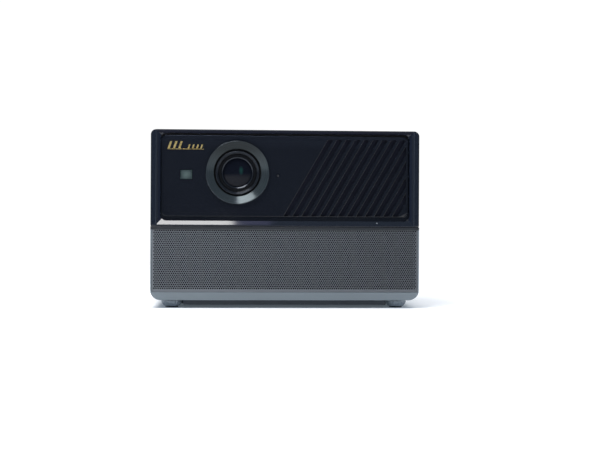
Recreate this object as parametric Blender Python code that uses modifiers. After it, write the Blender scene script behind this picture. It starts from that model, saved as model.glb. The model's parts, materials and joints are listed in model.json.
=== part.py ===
"""Home projector: black upper body with the lens and slanted vents, grey lower body with the speakers.

The frame is metres, +Z up, +X to the viewer's right, the front looking along -Y.
The origin is the middle of the footprint, on the surface that the feet stand on.
"""

import math

import bmesh
import bpy

# Driving dimensions of the body, in metres
WIDTH = 0.270
DEPTH = 0.215
HEIGHT = 0.179
FRONT = -DEPTH / 2
REAR = DEPTH / 2
SIDE = WIDTH / 2
BODY_BOTTOM = 0.008
SPLIT = 0.082
WALL = 0.0025
TOP_RADIUS = 0.0055
BOTTOM_RADIUS = 0.010
GAP = 0.0003

# Depth stations, from the front backwards, and the deck between the speakers and the optics
PANEL_FRONT = FRONT + 0.0065
PANEL_BACK = FRONT + 0.0095
BEZEL_BACK = FRONT + 0.0115
COVER_FRONT = REAR - 0.003
PLATE_Z = 0.0843

# Mouth of the bezel at the front face, how its sides slope inwards for each unit of depth, and its throat
MOUTH_SIDE = 0.1295
MOUTH_LOW = 0.0836
MOUTH_HIGH = 0.1780
SIDE_SLOPE = 1.4
LOW_SLOPE = 1.5
HIGH_SLOPE = 0.77
THROAT = (-0.1253, 0.0881, 0.1253, 0.1757)
THROAT_RADIUS = 0.0059

# Recessed panel: its edge, its raised field and the small window, as (left, bottom, right, top)
PANEL_EDGE = (-0.1310, 0.0862, 0.1310, 0.1752)
PANEL_FIELD = (-0.1246, 0.0920, 0.1246, 0.1726)
WINDOW = (-0.1055, 0.1296, -0.0941, 0.1384)

# Speaker grille and the opening behind it
GRILLE = (-0.1334, 0.0165, 0.1334, 0.0793)
GRILLE_OPENING = (-0.1305, 0.0185, 0.1305, 0.0775)

# The lens and what lies behind it
LENS_X = -0.0484
LENS_Z = 0.1363
TRIM_RADIUS = 0.03225
TRIM_BORE = 0.0239
BARREL_LIP = 0.0222
SLEEVE_RADIUS = 0.0208
BARREL_RADIUS = 0.0190
GLASS_RADIUS = 0.0162

# Focus drive
GEAR_MODULE = 0.001
RING_TEETH = 56
DRIVE_TEETH = 20
MESH_ANGLE = math.radians(-75)
GEAR_FRONT = -0.0922
GEAR_LENGTH = 0.008

# Light engine stations
ENGINE_FRONT = -0.072
ENGINE_BACK = 0.004
FRAME_BACK = 0.034
ENGINE_WIDTH = 0.113
ENGINE_HEIGHT = 0.073

# Slanted front vents
VENT_PITCH = 0.0092
VENT_WIDTH = 0.005
VENT_COUNT = 13
VENT_START = 0.0009
VENT_LOW = 0.0928
VENT_HIGH = 0.1700
VENT_RIGHT = 0.122
VENT_LEAN = math.tan(math.radians(30))

# Indicator lights: one in the panel, one in the lower slope of the bezel
LED_X = -0.0076
LED_Z = 0.1334
LED_BORE = 0.0013
INDICATOR_X = 0.0922
INDICATOR_Z = 0.0858

# Speakers, fans, button, feet and the screws of the pan
SPEAKER_X = 0.086
SPEAKER_Z = 0.048
SPEAKER_RADIUS = 0.029
EXHAUST_X = 0.072
EXHAUST_Z = 0.131
EXHAUST_SIZE = 0.074
LED_FAN_SIZE = 0.070
BUTTON_Y = 0.060
FRONT_FOOT_X = 0.1144
FRONT_FOOT_Y = FRONT + 0.023
KNOB_RADIUS = 0.0107
KNOB_FLUTES = 20
REAR_FOOT_X = 0.098
REAR_FOOT_Y = 0.078
SCREW_X = 0.112
SCREW_ROWS = (-0.058, 0.086)

# Turns that lay a local +Z axis along the named direction
UPWARD = (0.0, 0.0, 0.0)
FORWARD = (math.pi / 2, 0.0, 0.0)

# Surface finishes: colour, roughness, metallic
GLOSS_BLACK = ((0.011, 0.014, 0.022), 0.08, 0.0)
MATTE_BLACK = ((0.014, 0.016, 0.021), 0.45, 0.0)
PLASTIC_GREY = ((0.16, 0.20, 0.23), 0.45, 0.0)
GRILLE_GREY = ((0.12, 0.14, 0.16), 0.45, 0.3)
GUNMETAL = ((0.16, 0.19, 0.21), 0.3, 1.0)
ALUMINIUM = ((0.72, 0.73, 0.75), 0.35, 1.0)
STEEL = ((0.55, 0.56, 0.58), 0.3, 1.0)
BRASS = ((0.75, 0.55, 0.25), 0.3, 1.0)
GOLD = ((0.75, 0.55, 0.18), 0.3, 1.0)
GLASS = ((0.75, 0.82, 0.85), 0.03, 0.0)
GREY_GREEN = ((0.20, 0.30, 0.27), 0.1, 0.0)
BOARD_GREEN = ((0.02, 0.12, 0.06), 0.5, 0.0)
RUBBER = ((0.02, 0.02, 0.022), 0.85, 0.0)
PAPER = ((0.03, 0.03, 0.032), 0.9, 0.0)
WHITE_PLASTIC = ((0.75, 0.75, 0.72), 0.5, 0.0)
AMBER = ((0.45, 0.43, 0.40), 0.3, 0.0)

PARTS = bpy.data.collections.new("home_projector")
CUTTERS = bpy.data.collections.new("cutters")


def clear_scene():
    for obj in list(bpy.data.objects):
        bpy.data.objects.remove(obj, do_unlink=True)
    for collection in (PARTS, CUTTERS):
        bpy.context.scene.collection.children.link(collection)


# ---- building blocks


def finish_material(name, finish):
    colour, roughness, metallic = finish
    made = bpy.data.materials.new(name)
    made.use_nodes = True
    shader = made.node_tree.nodes["Principled BSDF"]
    shader.inputs["Base Color"].default_value = (*colour, 1.0)
    shader.inputs["Roughness"].default_value = roughness
    shader.inputs["Metallic"].default_value = metallic
    made.diffuse_color = (*colour, 1.0)
    return made


def add_part(name, mesh, finish, location=(0, 0, 0), turn=UPWARD):
    obj = bpy.data.objects.new(name, mesh)
    obj.location = location
    obj.rotation_euler = turn
    mesh.materials.clear()
    mesh.materials.append(finish_material(name, finish))
    PARTS.objects.link(obj)
    return obj


def add_cutter(mesh, location=(0, 0, 0), turn=UPWARD):
    obj = bpy.data.objects.new(mesh.name, mesh)
    obj.location = location
    obj.rotation_euler = turn
    obj.hide_render = True
    obj.display_type = "WIRE"
    CUTTERS.objects.link(obj)
    return obj


def combine(obj, other, operation="DIFFERENCE"):
    step = obj.modifiers.new(other.name, "BOOLEAN")
    step.operation = operation
    step.solver = "EXACT"
    step.object = other
    return obj


def box_between(low, high):
    """Size and centre of the box that spans two corners."""
    size = [b - a for a, b in zip(low, high)]
    centre = [(a + b) / 2 for a, b in zip(low, high)]
    return size, centre


def box_mesh(name, size):
    mesh = bpy.data.meshes.new(name)
    made = bmesh.new()
    bmesh.ops.create_cube(made, size=1.0)
    bmesh.ops.scale(made, vec=size, verts=made.verts)
    made.to_mesh(mesh)
    made.free()
    return mesh


def box(name, low, high, finish):
    size, centre = box_between(low, high)
    return add_part(name, box_mesh(name, size), finish, centre)


def cut_box(obj, low, high):
    size, centre = box_between(low, high)
    return combine(obj, add_cutter(box_mesh(obj.name + "_cut", size), centre))


def join_box(obj, low, high):
    size, centre = box_between(low, high)
    return combine(obj, add_cutter(box_mesh(obj.name + "_add", size), centre), "UNION")


def turned_mesh(name, profile, closed=False):
    """Half section as (radius, height) points, run down the outer side."""
    count = len(profile)
    edges = [(i, i + 1) for i in range(count - 1)]
    if closed:
        edges.append((count - 1, 0))
    mesh = bpy.data.meshes.new(name)
    mesh.from_pydata([(radius, 0, height) for radius, height in profile], edges, [])
    return mesh


def spin(obj, steps):
    screw = obj.modifiers.new("turn", "SCREW")
    screw.steps = steps
    screw.render_steps = steps
    screw.use_merge_vertices = True
    screw.merge_threshold = 0.00001
    weld = obj.modifiers.new("weld", "WELD")
    weld.merge_threshold = 0.00001
    return obj


def turned(name, profile, finish, location, turn=FORWARD, steps=40, closed=False):
    obj = add_part(name, turned_mesh(name, profile, closed), finish, location, turn)
    return spin(obj, steps)


def disc_cutter(name, radius, length, location, turn=FORWARD, steps=40):
    """Cylinder centred on its location."""
    mesh = bpy.data.meshes.new(name)
    made = bmesh.new()
    bmesh.ops.create_cone(
        made, cap_ends=True, segments=steps, radius1=radius, radius2=radius, depth=length
    )
    made.to_mesh(mesh)
    made.free()
    return add_cutter(mesh, location, turn)


def cut_disc(obj, radius, length, location, turn=FORWARD, steps=40):
    return combine(obj, disc_cutter(obj.name + "_bore", radius, length, location, turn, steps))


def join_disc(obj, radius, length, location, turn=FORWARD, steps=40):
    cutter = disc_cutter(obj.name + "_boss", radius, length, location, turn, steps)
    return combine(obj, cutter, "UNION")


def plate_mesh(name, outlines, thickness):
    """Flat plate, centred on its plane, with the first outline's edge and holes for the others."""
    curve = bpy.data.curves.new(name, "CURVE")
    curve.dimensions = "2D"
    curve.fill_mode = "BOTH"
    curve.extrude = thickness / 2
    for outline in outlines:
        spline = curve.splines.new("POLY")
        spline.points.add(len(outline) - 1)
        for point, (across, up) in zip(spline.points, outline):
            point.co = (across, up, 0, 1)
        spline.use_cyclic_u = True
    holder = bpy.data.objects.new(name, curve)
    bpy.context.scene.collection.objects.link(holder)
    depsgraph = bpy.context.evaluated_depsgraph_get()
    mesh = bpy.data.meshes.new_from_object(holder.evaluated_get(depsgraph))
    mesh.name = name
    bpy.data.objects.remove(holder, do_unlink=True)
    made = bmesh.new()
    made.from_mesh(mesh)
    bmesh.ops.remove_doubles(made, verts=made.verts, dist=0.000005)
    bmesh.ops.recalc_face_normals(made, faces=made.faces)
    made.to_mesh(mesh)
    made.free()
    return mesh


def front_plate(name, outlines, front, back, finish):
    """Plate in the X-Z plane between two depths."""
    mesh = plate_mesh(name, outlines, back - front)
    return add_part(name, mesh, finish, (0, (front + back) / 2, 0), FORWARD)


def cut_outline(obj, outline, front, back):
    mesh = plate_mesh(obj.name + "_opening", [outline], back - front)
    return combine(obj, add_cutter(mesh, (0, (front + back) / 2, 0), FORWARD))


def rounded(left, bottom, right, top, radii, steps=6):
    """Rectangle with its corner radii from the lower left, anticlockwise."""
    corners = ((left, bottom, 180), (right, bottom, 270), (right, top, 0), (left, top, 90))
    points = []
    for (x, z, start), radius in zip(corners, radii):
        centre_x = x + radius if x == left else x - radius
        centre_z = z + radius if z == bottom else z - radius
        if radius <= 0:
            points.append((x, z))
            continue
        for step in range(steps + 1):
            angle = math.radians(start + 90 * step / steps)
            spot = (centre_x + radius * math.cos(angle), centre_z + radius * math.sin(angle))
            points.append(spot)
    return points


def grown(frame, margin):
    """Rectangle (left, bottom, right, top) with a margin added on every side."""
    left, bottom, right, top = frame
    return (left - margin, bottom - margin, right + margin, top + margin)


def circle(x, z, radius, steps=40):
    turns = [2 * math.pi * step / steps for step in range(steps)]
    return [(x + radius * math.cos(turn), z + radius * math.sin(turn)) for turn in turns]


def gear_outline(teeth, module, phase):
    """Straight-flanked teeth with one tooth centred on the phase angle."""
    pitch_radius = teeth * module / 2
    root = pitch_radius - 1.25 * module
    tip = pitch_radius + 0.9 * module
    pitch = 2 * math.pi / teeth
    flank = ((-0.27, root), (-0.11, tip), (0.11, tip), (0.27, root))
    points = []
    for tooth in range(teeth):
        for share, radius in flank:
            angle = phase + (tooth + share) * pitch
            points.append((radius * math.cos(angle), radius * math.sin(angle)))
    return points


def tapered_mesh(name, near, far, length, open_ends=False):
    """Four-sided taper along local Z: far rectangle at 0, near rectangle at length.

    Each rectangle is (left, bottom, right, top)."""
    mesh = bpy.data.meshes.new(name)
    made = bmesh.new()
    bmesh.ops.create_cube(made, size=2.0)
    for vert in made.verts:
        left, bottom, right, top = near if vert.co.z > 0 else far
        vert.co.x = right if vert.co.x > 0 else left
        vert.co.y = top if vert.co.y > 0 else bottom
        vert.co.z = length if vert.co.z > 0 else 0.0
    if open_ends:
        ends = [face for face in made.faces if abs(face.normal.z) > 0.99]
        bmesh.ops.delete(made, geom=ends, context="FACES_ONLY")
    made.to_mesh(mesh)
    made.free()
    return mesh


def centred(width, height, x=LENS_X, z=LENS_Z):
    return (x - width / 2, z - height / 2, x + width / 2, z + height / 2)


def thicken(obj, amount):
    """Solid wall grown inwards from an open skin."""
    step = obj.modifiers.new("wall", "SOLIDIFY")
    step.thickness = amount
    step.offset = -1.0
    step.use_even_offset = True
    return obj


# ---- outer shells


def bezel_slope(depth):
    """The sloped opening's rectangle at a depth behind the front."""
    side = MOUTH_SIDE - SIDE_SLOPE * depth
    return (-side, MOUTH_LOW + LOW_SLOPE * depth, side, MOUTH_HIGH - HIGH_SLOPE * depth)


def front_bezel():
    outline = rounded(-SIDE, SPLIT, SIDE, HEIGHT, (0.0012, 0.0012, TOP_RADIUS, TOP_RADIUS))
    bezel = front_plate("front_bezel", [outline], FRONT, BEZEL_BACK, GLOSS_BLACK)
    ahead, behind = -0.0010, 0.0045
    funnel = tapered_mesh("bezel_slope", bezel_slope(ahead), bezel_slope(behind), behind - ahead)
    combine(bezel, add_cutter(funnel, (0, FRONT + behind, 0), FORWARD))
    cut_outline(bezel, rounded(*THROAT, (THROAT_RADIUS,) * 4), FRONT + 0.001, BEZEL_BACK + 0.001)
    pocket = rounded(-SIDE + WALL, SPLIT + WALL, SIDE - WALL, HEIGHT - WALL, (0.003,) * 4, 3)
    cut_outline(bezel, pocket, PANEL_FRONT - GAP, BEZEL_BACK + 0.001)
    cut_disc(bezel, LED_BORE, 0.020, (INDICATOR_X, FRONT, INDICATOR_Z), steps=16)
    return bezel


def vent_outline(index):
    """Slanted slot, cut short at the right-hand limit."""
    foot = VENT_START + index * VENT_PITCH
    left = foot - VENT_WIDTH / 2
    right = foot + VENT_WIDTH / 2
    points = []
    for side, order in ((right, (VENT_LOW, VENT_HIGH)), (left, (VENT_HIGH, VENT_LOW))):
        reach = side + (VENT_HIGH - VENT_LOW) * VENT_LEAN
        if reach <= VENT_RIGHT:
            points += [(side + (z - VENT_LOW) * VENT_LEAN, z) for z in order]
            continue
        limit = VENT_LOW + (VENT_RIGHT - side) / VENT_LEAN
        crossing = [(VENT_RIGHT, limit), (side, VENT_LOW)]
        if side == right and left + (VENT_HIGH - VENT_LOW) * VENT_LEAN <= VENT_RIGHT:
            crossing.insert(0, (VENT_RIGHT, VENT_HIGH))
        points += crossing if side == left else crossing[::-1]
    return points


def front_panel():
    edge = rounded(*PANEL_EDGE, (0.002,) * 4, 2)
    field = rounded(*PANEL_FIELD, (0.0052,) * 4, 4)
    lens_hole = circle(LENS_X, LENS_Z, 0.029, 48)
    window_hole = rounded(*grown(WINDOW, GAP), (0.0006,) * 4, 2)
    dot = circle(LED_X, LED_Z, LED_BORE, 12)
    vents = [vent_outline(index) for index in range(VENT_COUNT)]
    holes = [lens_hole, window_hole, dot] + vents
    panel = front_plate("front_panel", [edge] + holes, PANEL_FRONT, PANEL_BACK, GLOSS_BLACK)
    step = 0.00145
    border = plate_mesh("panel_border", [rounded(*grown(PANEL_EDGE, 0.001), (0,) * 4), field], 2 * step)
    return combine(panel, add_cutter(border, (0, PANEL_FRONT, 0), FORWARD))


def upper_housing():
    outline = rounded(-SIDE, SPLIT, SIDE, HEIGHT, (0, 0, TOP_RADIUS, TOP_RADIUS))
    front = BEZEL_BACK + GAP
    back = COVER_FRONT - GAP
    housing = front_plate("upper_housing", [outline], front, back, MATTE_BLACK)
    inside = rounded(-SIDE + WALL, SPLIT - 0.01, SIDE - WALL, HEIGHT - WALL, (0, 0, 0.003, 0.003))
    cut_outline(housing, inside, front - 0.001, back + 0.001)
    cut_disc(housing, 0.0093, 0.010, (0, BUTTON_Y, HEIGHT), UPWARD)
    return housing


def lower_housing():
    top = SPLIT - GAP
    outline = rounded(-SIDE, BODY_BOTTOM, SIDE, top, (BOTTOM_RADIUS, BOTTOM_RADIUS, 0, 0))
    back = COVER_FRONT - GAP
    housing = front_plate("lower_housing", [outline], FRONT, back, PLASTIC_GREY)
    floor = BODY_BOTTOM + WALL
    corner = BOTTOM_RADIUS - WALL
    inside = rounded(-SIDE + WALL, floor, SIDE - WALL, top + 0.01, (corner, corner, 0, 0))
    cut_outline(housing, inside, FRONT + 0.0055, back + 0.001)
    opening = rounded(*GRILLE_OPENING, (0.002,) * 4, 2)
    cut_outline(housing, opening, FRONT - 0.001, FRONT + 0.007)
    rebate = rounded(*grown(GRILLE, GAP), (0.001,) * 4, 2)
    cut_outline(housing, rebate, FRONT - 0.001, FRONT + 0.0016)
    band_top = 0.0158
    wedge = bpy.data.meshes.new("band_slope")
    made = bmesh.new()
    bmesh.ops.create_cube(made, size=2.0)
    for vert in made.verts:
        vert.co.x = math.copysign(SIDE + 0.001, vert.co.x)
        upper = vert.co.z > 0
        near = vert.co.y < 0
        vert.co.z = band_top if upper else BODY_BOTTOM - 0.001
        vert.co.y = FRONT - 0.001 if near else (FRONT - 0.00005 if upper else FRONT + 0.0032)
    made.to_mesh(wedge)
    made.free()
    combine(housing, add_cutter(wedge))
    for side in (-1, 1):
        place = (side * FRONT_FOOT_X, FRONT_FOOT_Y, 0.014)
        join_disc(housing, 0.0055, 0.0100, place, UPWARD, 16)
        cut_disc(housing, 0.0034, 0.0300, place, UPWARD, 16)
        for y in SCREW_ROWS:
            join_disc(housing, 0.0040, 0.0070, (side * SCREW_X, y, 0.0130), UPWARD, 10)
            cut_disc(housing, 0.0019, 0.0300, (side * SCREW_X, y, BODY_BOTTOM), UPWARD, 8)
    cut_disc(housing, 0.0075, 0.0100, (0, 0, BODY_BOTTOM), UPWARD, 24)
    return housing


def rear_cover():
    radii = (BOTTOM_RADIUS, BOTTOM_RADIUS, TOP_RADIUS, TOP_RADIUS)
    outline = rounded(-SIDE, BODY_BOTTOM, SIDE, HEIGHT, radii)
    slots = []
    for row in range(-4, 5):
        z = LENS_Z + row * 0.0072
        half = math.sqrt(0.0340 ** 2 - (row * 0.0072) ** 2)
        slots.append(rounded(LENS_X - half, z - 0.0018, LENS_X + half, z + 0.0018, (0.0012,) * 4, 1))
    for column in (-7, -6, -5, -4, -3, -2, 2, 3, 4, 5, 6, 7):
        x = column * 0.014
        slots.append(rounded(x - 0.0018, 0.030, x + 0.0018, 0.066, (0.0012,) * 4, 1))
    for port in PORTS.values():
        slots.append(rounded(*grown(port, GAP), (0,) * 4))
    return front_plate("rear_cover", [outline] + slots, COVER_FRONT, REAR, MATTE_BLACK)


def bottom_cover():
    """Pan under the body, with its front corners left open for the adjusting feet."""
    low, high = 0.003, BODY_BOTTOM - GAP
    outer, front, back, clear = 0.1228, -0.0985, 0.0980, 0.0120
    half = [(FRONT_FOOT_X - clear, front)]
    for step in range(6):
        angle = math.radians(180 - 18 * step)
        spot = (FRONT_FOOT_X + clear * math.cos(angle), FRONT_FOOT_Y + clear * math.sin(angle))
        half.append(spot)
    half += [(outer, FRONT_FOOT_Y + clear + 0.001), (outer, back)]
    outline = half + [(-x, y) for x, y in half[::-1]]
    mesh = plate_mesh("bottom_cover", [outline], high - low)
    cover = add_part("bottom_cover", mesh, MATTE_BLACK, (0, 0, (low + high) / 2))
    for side in (-1, 1):
        for y in SCREW_ROWS:
            cut_disc(cover, 0.0019, 0.020, (side * SCREW_X, y, low), UPWARD, 8)
            cut_disc(cover, 0.0037, 0.0056, (side * SCREW_X, y, low), UPWARD, 12)
        cut_disc(cover, 0.0086, 0.0020, (side * REAR_FOOT_X, REAR_FOOT_Y, low), UPWARD, 24)
    cut_disc(cover, 0.0063, 0.030, (0, 0, low), UPWARD, 24)
    return cover


def bottom_screws():
    head, shank = 0.0033, 0.0015
    top, seat, face = 0.0135, 0.0053, 0.0033
    slot = 0.0012
    profile = ((0, top), (shank, top), (shank, seat), (head, seat), (head, face), (slot, face),
               (slot, face + 0.001), (0, face + 0.001))
    spots = [(x, y) for y in SCREW_ROWS for x in (-SCREW_X, SCREW_X)]
    for number, (x, y) in enumerate(spots, 1):
        turned(f"bottom_screw_{number}", profile, STEEL, (x, y, 0), UPWARD, 12)


def chassis_plate():
    low = (-SIDE + WALL + GAP, -0.0950, PLATE_Z - 0.0016)
    high = (SIDE - WALL - GAP, 0.1030, PLATE_Z)
    plate = box("chassis_plate", low, high, STEEL)
    cut_box(plate, (0.030, 0.030, 0.075), (0.070, 0.070, 0.095))
    cut_box(plate, (-0.120, 0.030, 0.075), (-0.108, 0.070, 0.095))
    return plate


# ---- front details


def front_badge():
    """Slanted bars on a thin line, three tall and four short."""
    base, line, lean = 0.1594, 0.0006, 0.35
    bars = [(-0.1185 + 0.0053 * number, 0.0030, 0.0079) for number in range(3)]
    bars += [(-0.0985 + 0.0042 * number, 0.0024, 0.0048) for number in range(4)]
    start, end = bars[0][0] - 0.0010, bars[-1][0] + 0.0036
    points = [(start, base), (end, base), (end, base + line)]
    for left, width, height in bars[::-1]:
        right, rise, shift = left + width, base + height, lean * height
        points += [(right, base + line), (right + shift, rise), (left + shift, rise), (left, base + line)]
    points.append((start, base + line))
    front = PANEL_FRONT - 0.0005
    return front_plate("front_badge", [points], front, front + 0.00025, GOLD)


def small_front_pieces():
    window = rounded(*WINDOW, (0.0005,) * 4, 2)
    front_plate("sensor_window", [window], PANEL_FRONT + 0.0001, PANEL_BACK - 0.0013, GREY_GREEN)
    module = box("sensor_module", (-0.110, FRONT + 0.0150, 0.1265), (-0.0885, FRONT + 0.0165, 0.1420),
                 BOARD_GREEN)
    join_box(module, (-0.1035, FRONT + 0.0110, 0.1300), (-0.0945, FRONT + 0.0152, 0.1386))
    led = ((0, 0.0022), (0.0007, 0.0021), (0.0010, 0.0016), (0.0010, -0.0030), (0, -0.0030))
    turned("status_led", led, WHITE_PLASTIC, (LED_X, PANEL_FRONT + 0.0025, LED_Z), steps=12)
    pipe = ((0, 0.0020), (0.0010, 0.0020), (0.0010, -0.0040), (0, -0.0040))
    turned("indicator_lens", pipe, WHITE_PLASTIC, (INDICATOR_X, FRONT + 0.0036, INDICATOR_Z), steps=12)


def lens_trim_ring():
    """Dished ring whose flange lies on the panel and whose collar goes through it."""
    rim = 0.0033
    profile = ((0.0314, rim), (TRIM_RADIUS, rim - 0.0008), (TRIM_RADIUS, 0.0003), (0.0286, 0.0003),
               (0.0286, -0.0055), (TRIM_BORE, -0.0055), (TRIM_BORE, -0.0012))
    place = (LENS_X, PANEL_FRONT, LENS_Z)
    return turned("lens_trim_ring", profile, GUNMETAL, place, steps=40, closed=True)


# ---- lens and focus drive


def lens_parts():
    """Profiles are given along the optical axis as distances towards the viewer."""
    origin = (LENS_X, 0, LENS_Z)
    lip_front, lip_back = 0.0995, 0.0973
    barrel = ((0.0215, lip_front), (BARREL_LIP, lip_front - 0.0007), (BARREL_LIP, lip_back),
              (BARREL_RADIUS, lip_back), (BARREL_RADIUS, 0.0770), (0.0150, 0.0770),
              (0.0150, 0.0785), (0.0168, 0.0785), (0.0168, 0.0950), (0.0198, 0.0978))
    turned("lens_barrel", barrel, MATTE_BLACK, origin, steps=36, closed=True)
    ring = ((0.0186, 0.0971), (0.0164, 0.0950), (0.0164, 0.0930), (0.0150, 0.0930),
            (0.0150, 0.0952), (0.0160, 0.0971))
    turned("lens_retaining_ring", ring, MATTE_BLACK, origin, steps=28, closed=True)
    front_glass = dome(GLASS_RADIUS, 0.0890, 0.0924, 0.0030)
    turned("front_lens_element", front_glass, GLASS, origin, steps=24)
    rear_glass = dome(0.0162, 0.0790, 0.0808, 0.0024)
    turned("rear_lens_element", rear_glass, GLASS, origin, steps=24)
    flange_front, flange_back = 0.0750, 0.0726
    sleeve = ((SLEEVE_RADIUS, 0.0948), (SLEEVE_RADIUS, flange_front), (0.0245, flange_front),
              (0.0245, flange_back), (0.0193, flange_back), (0.0193, 0.0948))
    body = turned("lens_sleeve", sleeve, ALUMINIUM, origin, steps=36, closed=True)
    left, bottom, right, top = centred(0.062, 0.056)
    frame = [rounded(left, bottom, right, top, (0.003,) * 4, 2), circle(LENS_X, LENS_Z, 0.0225, 36)]
    flange = plate_mesh("sleeve_flange", frame, flange_front - flange_back)
    middle = -(flange_front + flange_back) / 2
    combine(body, add_cutter(flange, (0, middle, 0), FORWARD), "UNION")


def dome(radius, back, edge, bulge):
    """Plano-convex element, its dome towards the viewer."""
    points = []
    for step in range(6):
        share = step / 5
        points.append((radius * share, edge + bulge * (1 - share ** 2)))
    return points + [(radius, back), (0, back)]


def focus_drive():
    middle = GEAR_FRONT + GEAR_LENGTH / 2
    outline = gear_outline(RING_TEETH, GEAR_MODULE, MESH_ANGLE)
    bore = circle(0, 0, SLEEVE_RADIUS + 0.0004, 32)
    ring = plate_mesh("focus_ring_gear", [outline, bore], GEAR_LENGTH)
    add_part("focus_ring_gear", ring, WHITE_PLASTIC, (LENS_X, middle, LENS_Z), FORWARD)
    spacing = (RING_TEETH + DRIVE_TEETH) * GEAR_MODULE / 2
    drive_x = LENS_X + spacing * math.cos(MESH_ANGLE)
    drive_z = LENS_Z + spacing * math.sin(MESH_ANGLE)
    phase = MESH_ANGLE + math.pi + math.pi / DRIVE_TEETH
    outline = gear_outline(DRIVE_TEETH, GEAR_MODULE, phase)
    gear = plate_mesh("focus_drive_gear", [outline, circle(0, 0, 0.00105, 12)], GEAR_LENGTH)
    add_part("focus_drive_gear", gear, WHITE_PLASTIC, (drive_x, middle, drive_z), FORWARD)
    face = -(GEAR_FRONT + GEAR_LENGTH + 0.0006)
    body, shaft = 0.0065, 0.0009
    motor = ((0, face + 0.0085), (shaft, face + 0.0085), (shaft, face), (0.0030, face),
             (0.0030, face - 0.0010), (body, face - 0.0010), (body, face - 0.0150), (0, face - 0.0150))
    turned("focus_motor", motor, STEEL, (drive_x, 0, drive_z), steps=24)
    saddle = box("motor_bracket", (drive_x - 0.009, -0.0815, PLATE_Z + GAP),
                 (drive_x + 0.009, -0.0725, drive_z), STEEL)
    cut_disc(saddle, body + 0.0003, 0.030, (drive_x, -0.077, drive_z), steps=24)


# ---- light engine


def light_engine():
    """Stations run backwards from the lens to the lamp's heatsink."""
    length = ENGINE_BACK - ENGINE_FRONT
    skin = tapered_mesh("engine_housing", centred(0.062, 0.056), centred(ENGINE_WIDTH, ENGINE_HEIGHT),
                        length, open_ends=True)
    thicken(add_part("engine_housing", skin, MATTE_BLACK, (0, ENGINE_BACK, 0), FORWARD), 0.002)
    outer = rounded(*centred(ENGINE_WIDTH, ENGINE_HEIGHT), (0.001,) * 4, 1)
    inner = rounded(*centred(ENGINE_WIDTH - 0.005, ENGINE_HEIGHT - 0.005), (0.001,) * 4, 1)
    frame = front_plate("engine_frame", [outer, inner], ENGINE_BACK + 0.001, FRAME_BACK, MATTE_BLACK)
    for start, end in ((0.0105, 0.0160), (0.0195, 0.0255)):
        cut_box(frame, (LENS_X - 0.045, start, LENS_Z - 0.05), (LENS_X + 0.045, end, LENS_Z + 0.05))
    sheet = rounded(*centred(ENGINE_WIDTH - 0.0056, ENGINE_HEIGHT - 0.0056), (0.001,) * 4, 1)
    front_plate("fresnel_lens_front", [sheet], 0.0070, 0.0090, GLASS)
    front_plate("lcd_panel", [sheet], 0.0165, 0.0188, AMBER)
    front_plate("fresnel_lens_rear", [sheet], 0.0270, 0.0290, GLASS)
    funnel_back = 0.0600
    skin = tapered_mesh("light_funnel", centred(0.106, 0.066), centred(0.030, 0.030),
                        funnel_back - FRAME_BACK - GAP, open_ends=True)
    thicken(add_part("light_funnel", skin, ALUMINIUM, (0, funnel_back, 0), FORWARD), 0.0012)
    board = rounded(*centred(0.046, 0.046), (0.002,) * 4, 2)
    module = front_plate("led_module", [board], funnel_back + GAP, funnel_back + 0.0019, WHITE_PLASTIC)
    left, bottom, right, top = centred(0.016, 0.016)
    join_box(module, (left, funnel_back - 0.001, bottom), (right, funnel_back + 0.001, top))
    heatsink(funnel_back + 0.0022)
    fan("led_fan", LENS_X, LENS_Z, LED_FAN_SIZE, 0.0885, 0.012)


def heatsink(front):
    """Finned block: a base against the lamp board and upright fins behind it."""
    fins, pitch, fin = 12, 0.0058, 0.0012
    base, back = front + 0.005, 0.0872
    start = LENS_X - (fins - 1) * pitch / 2
    points = [(start - fin / 2, front), (start + (fins - 1) * pitch + fin / 2, front)]
    for number in range(fins - 1, -1, -1):
        middle = start + number * pitch
        right = (middle + fin / 2, middle + fin / 2)
        if number < fins - 1:
            points.append((right[0], base))
        points += [(right[1], back), (middle - fin / 2, back)]
        if number > 0:
            points.append((middle - fin / 2, base))
    mesh = plate_mesh("led_heatsink", [points], 0.066)
    add_part("led_heatsink", mesh, ALUMINIUM, (0, 0, LENS_Z))


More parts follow.
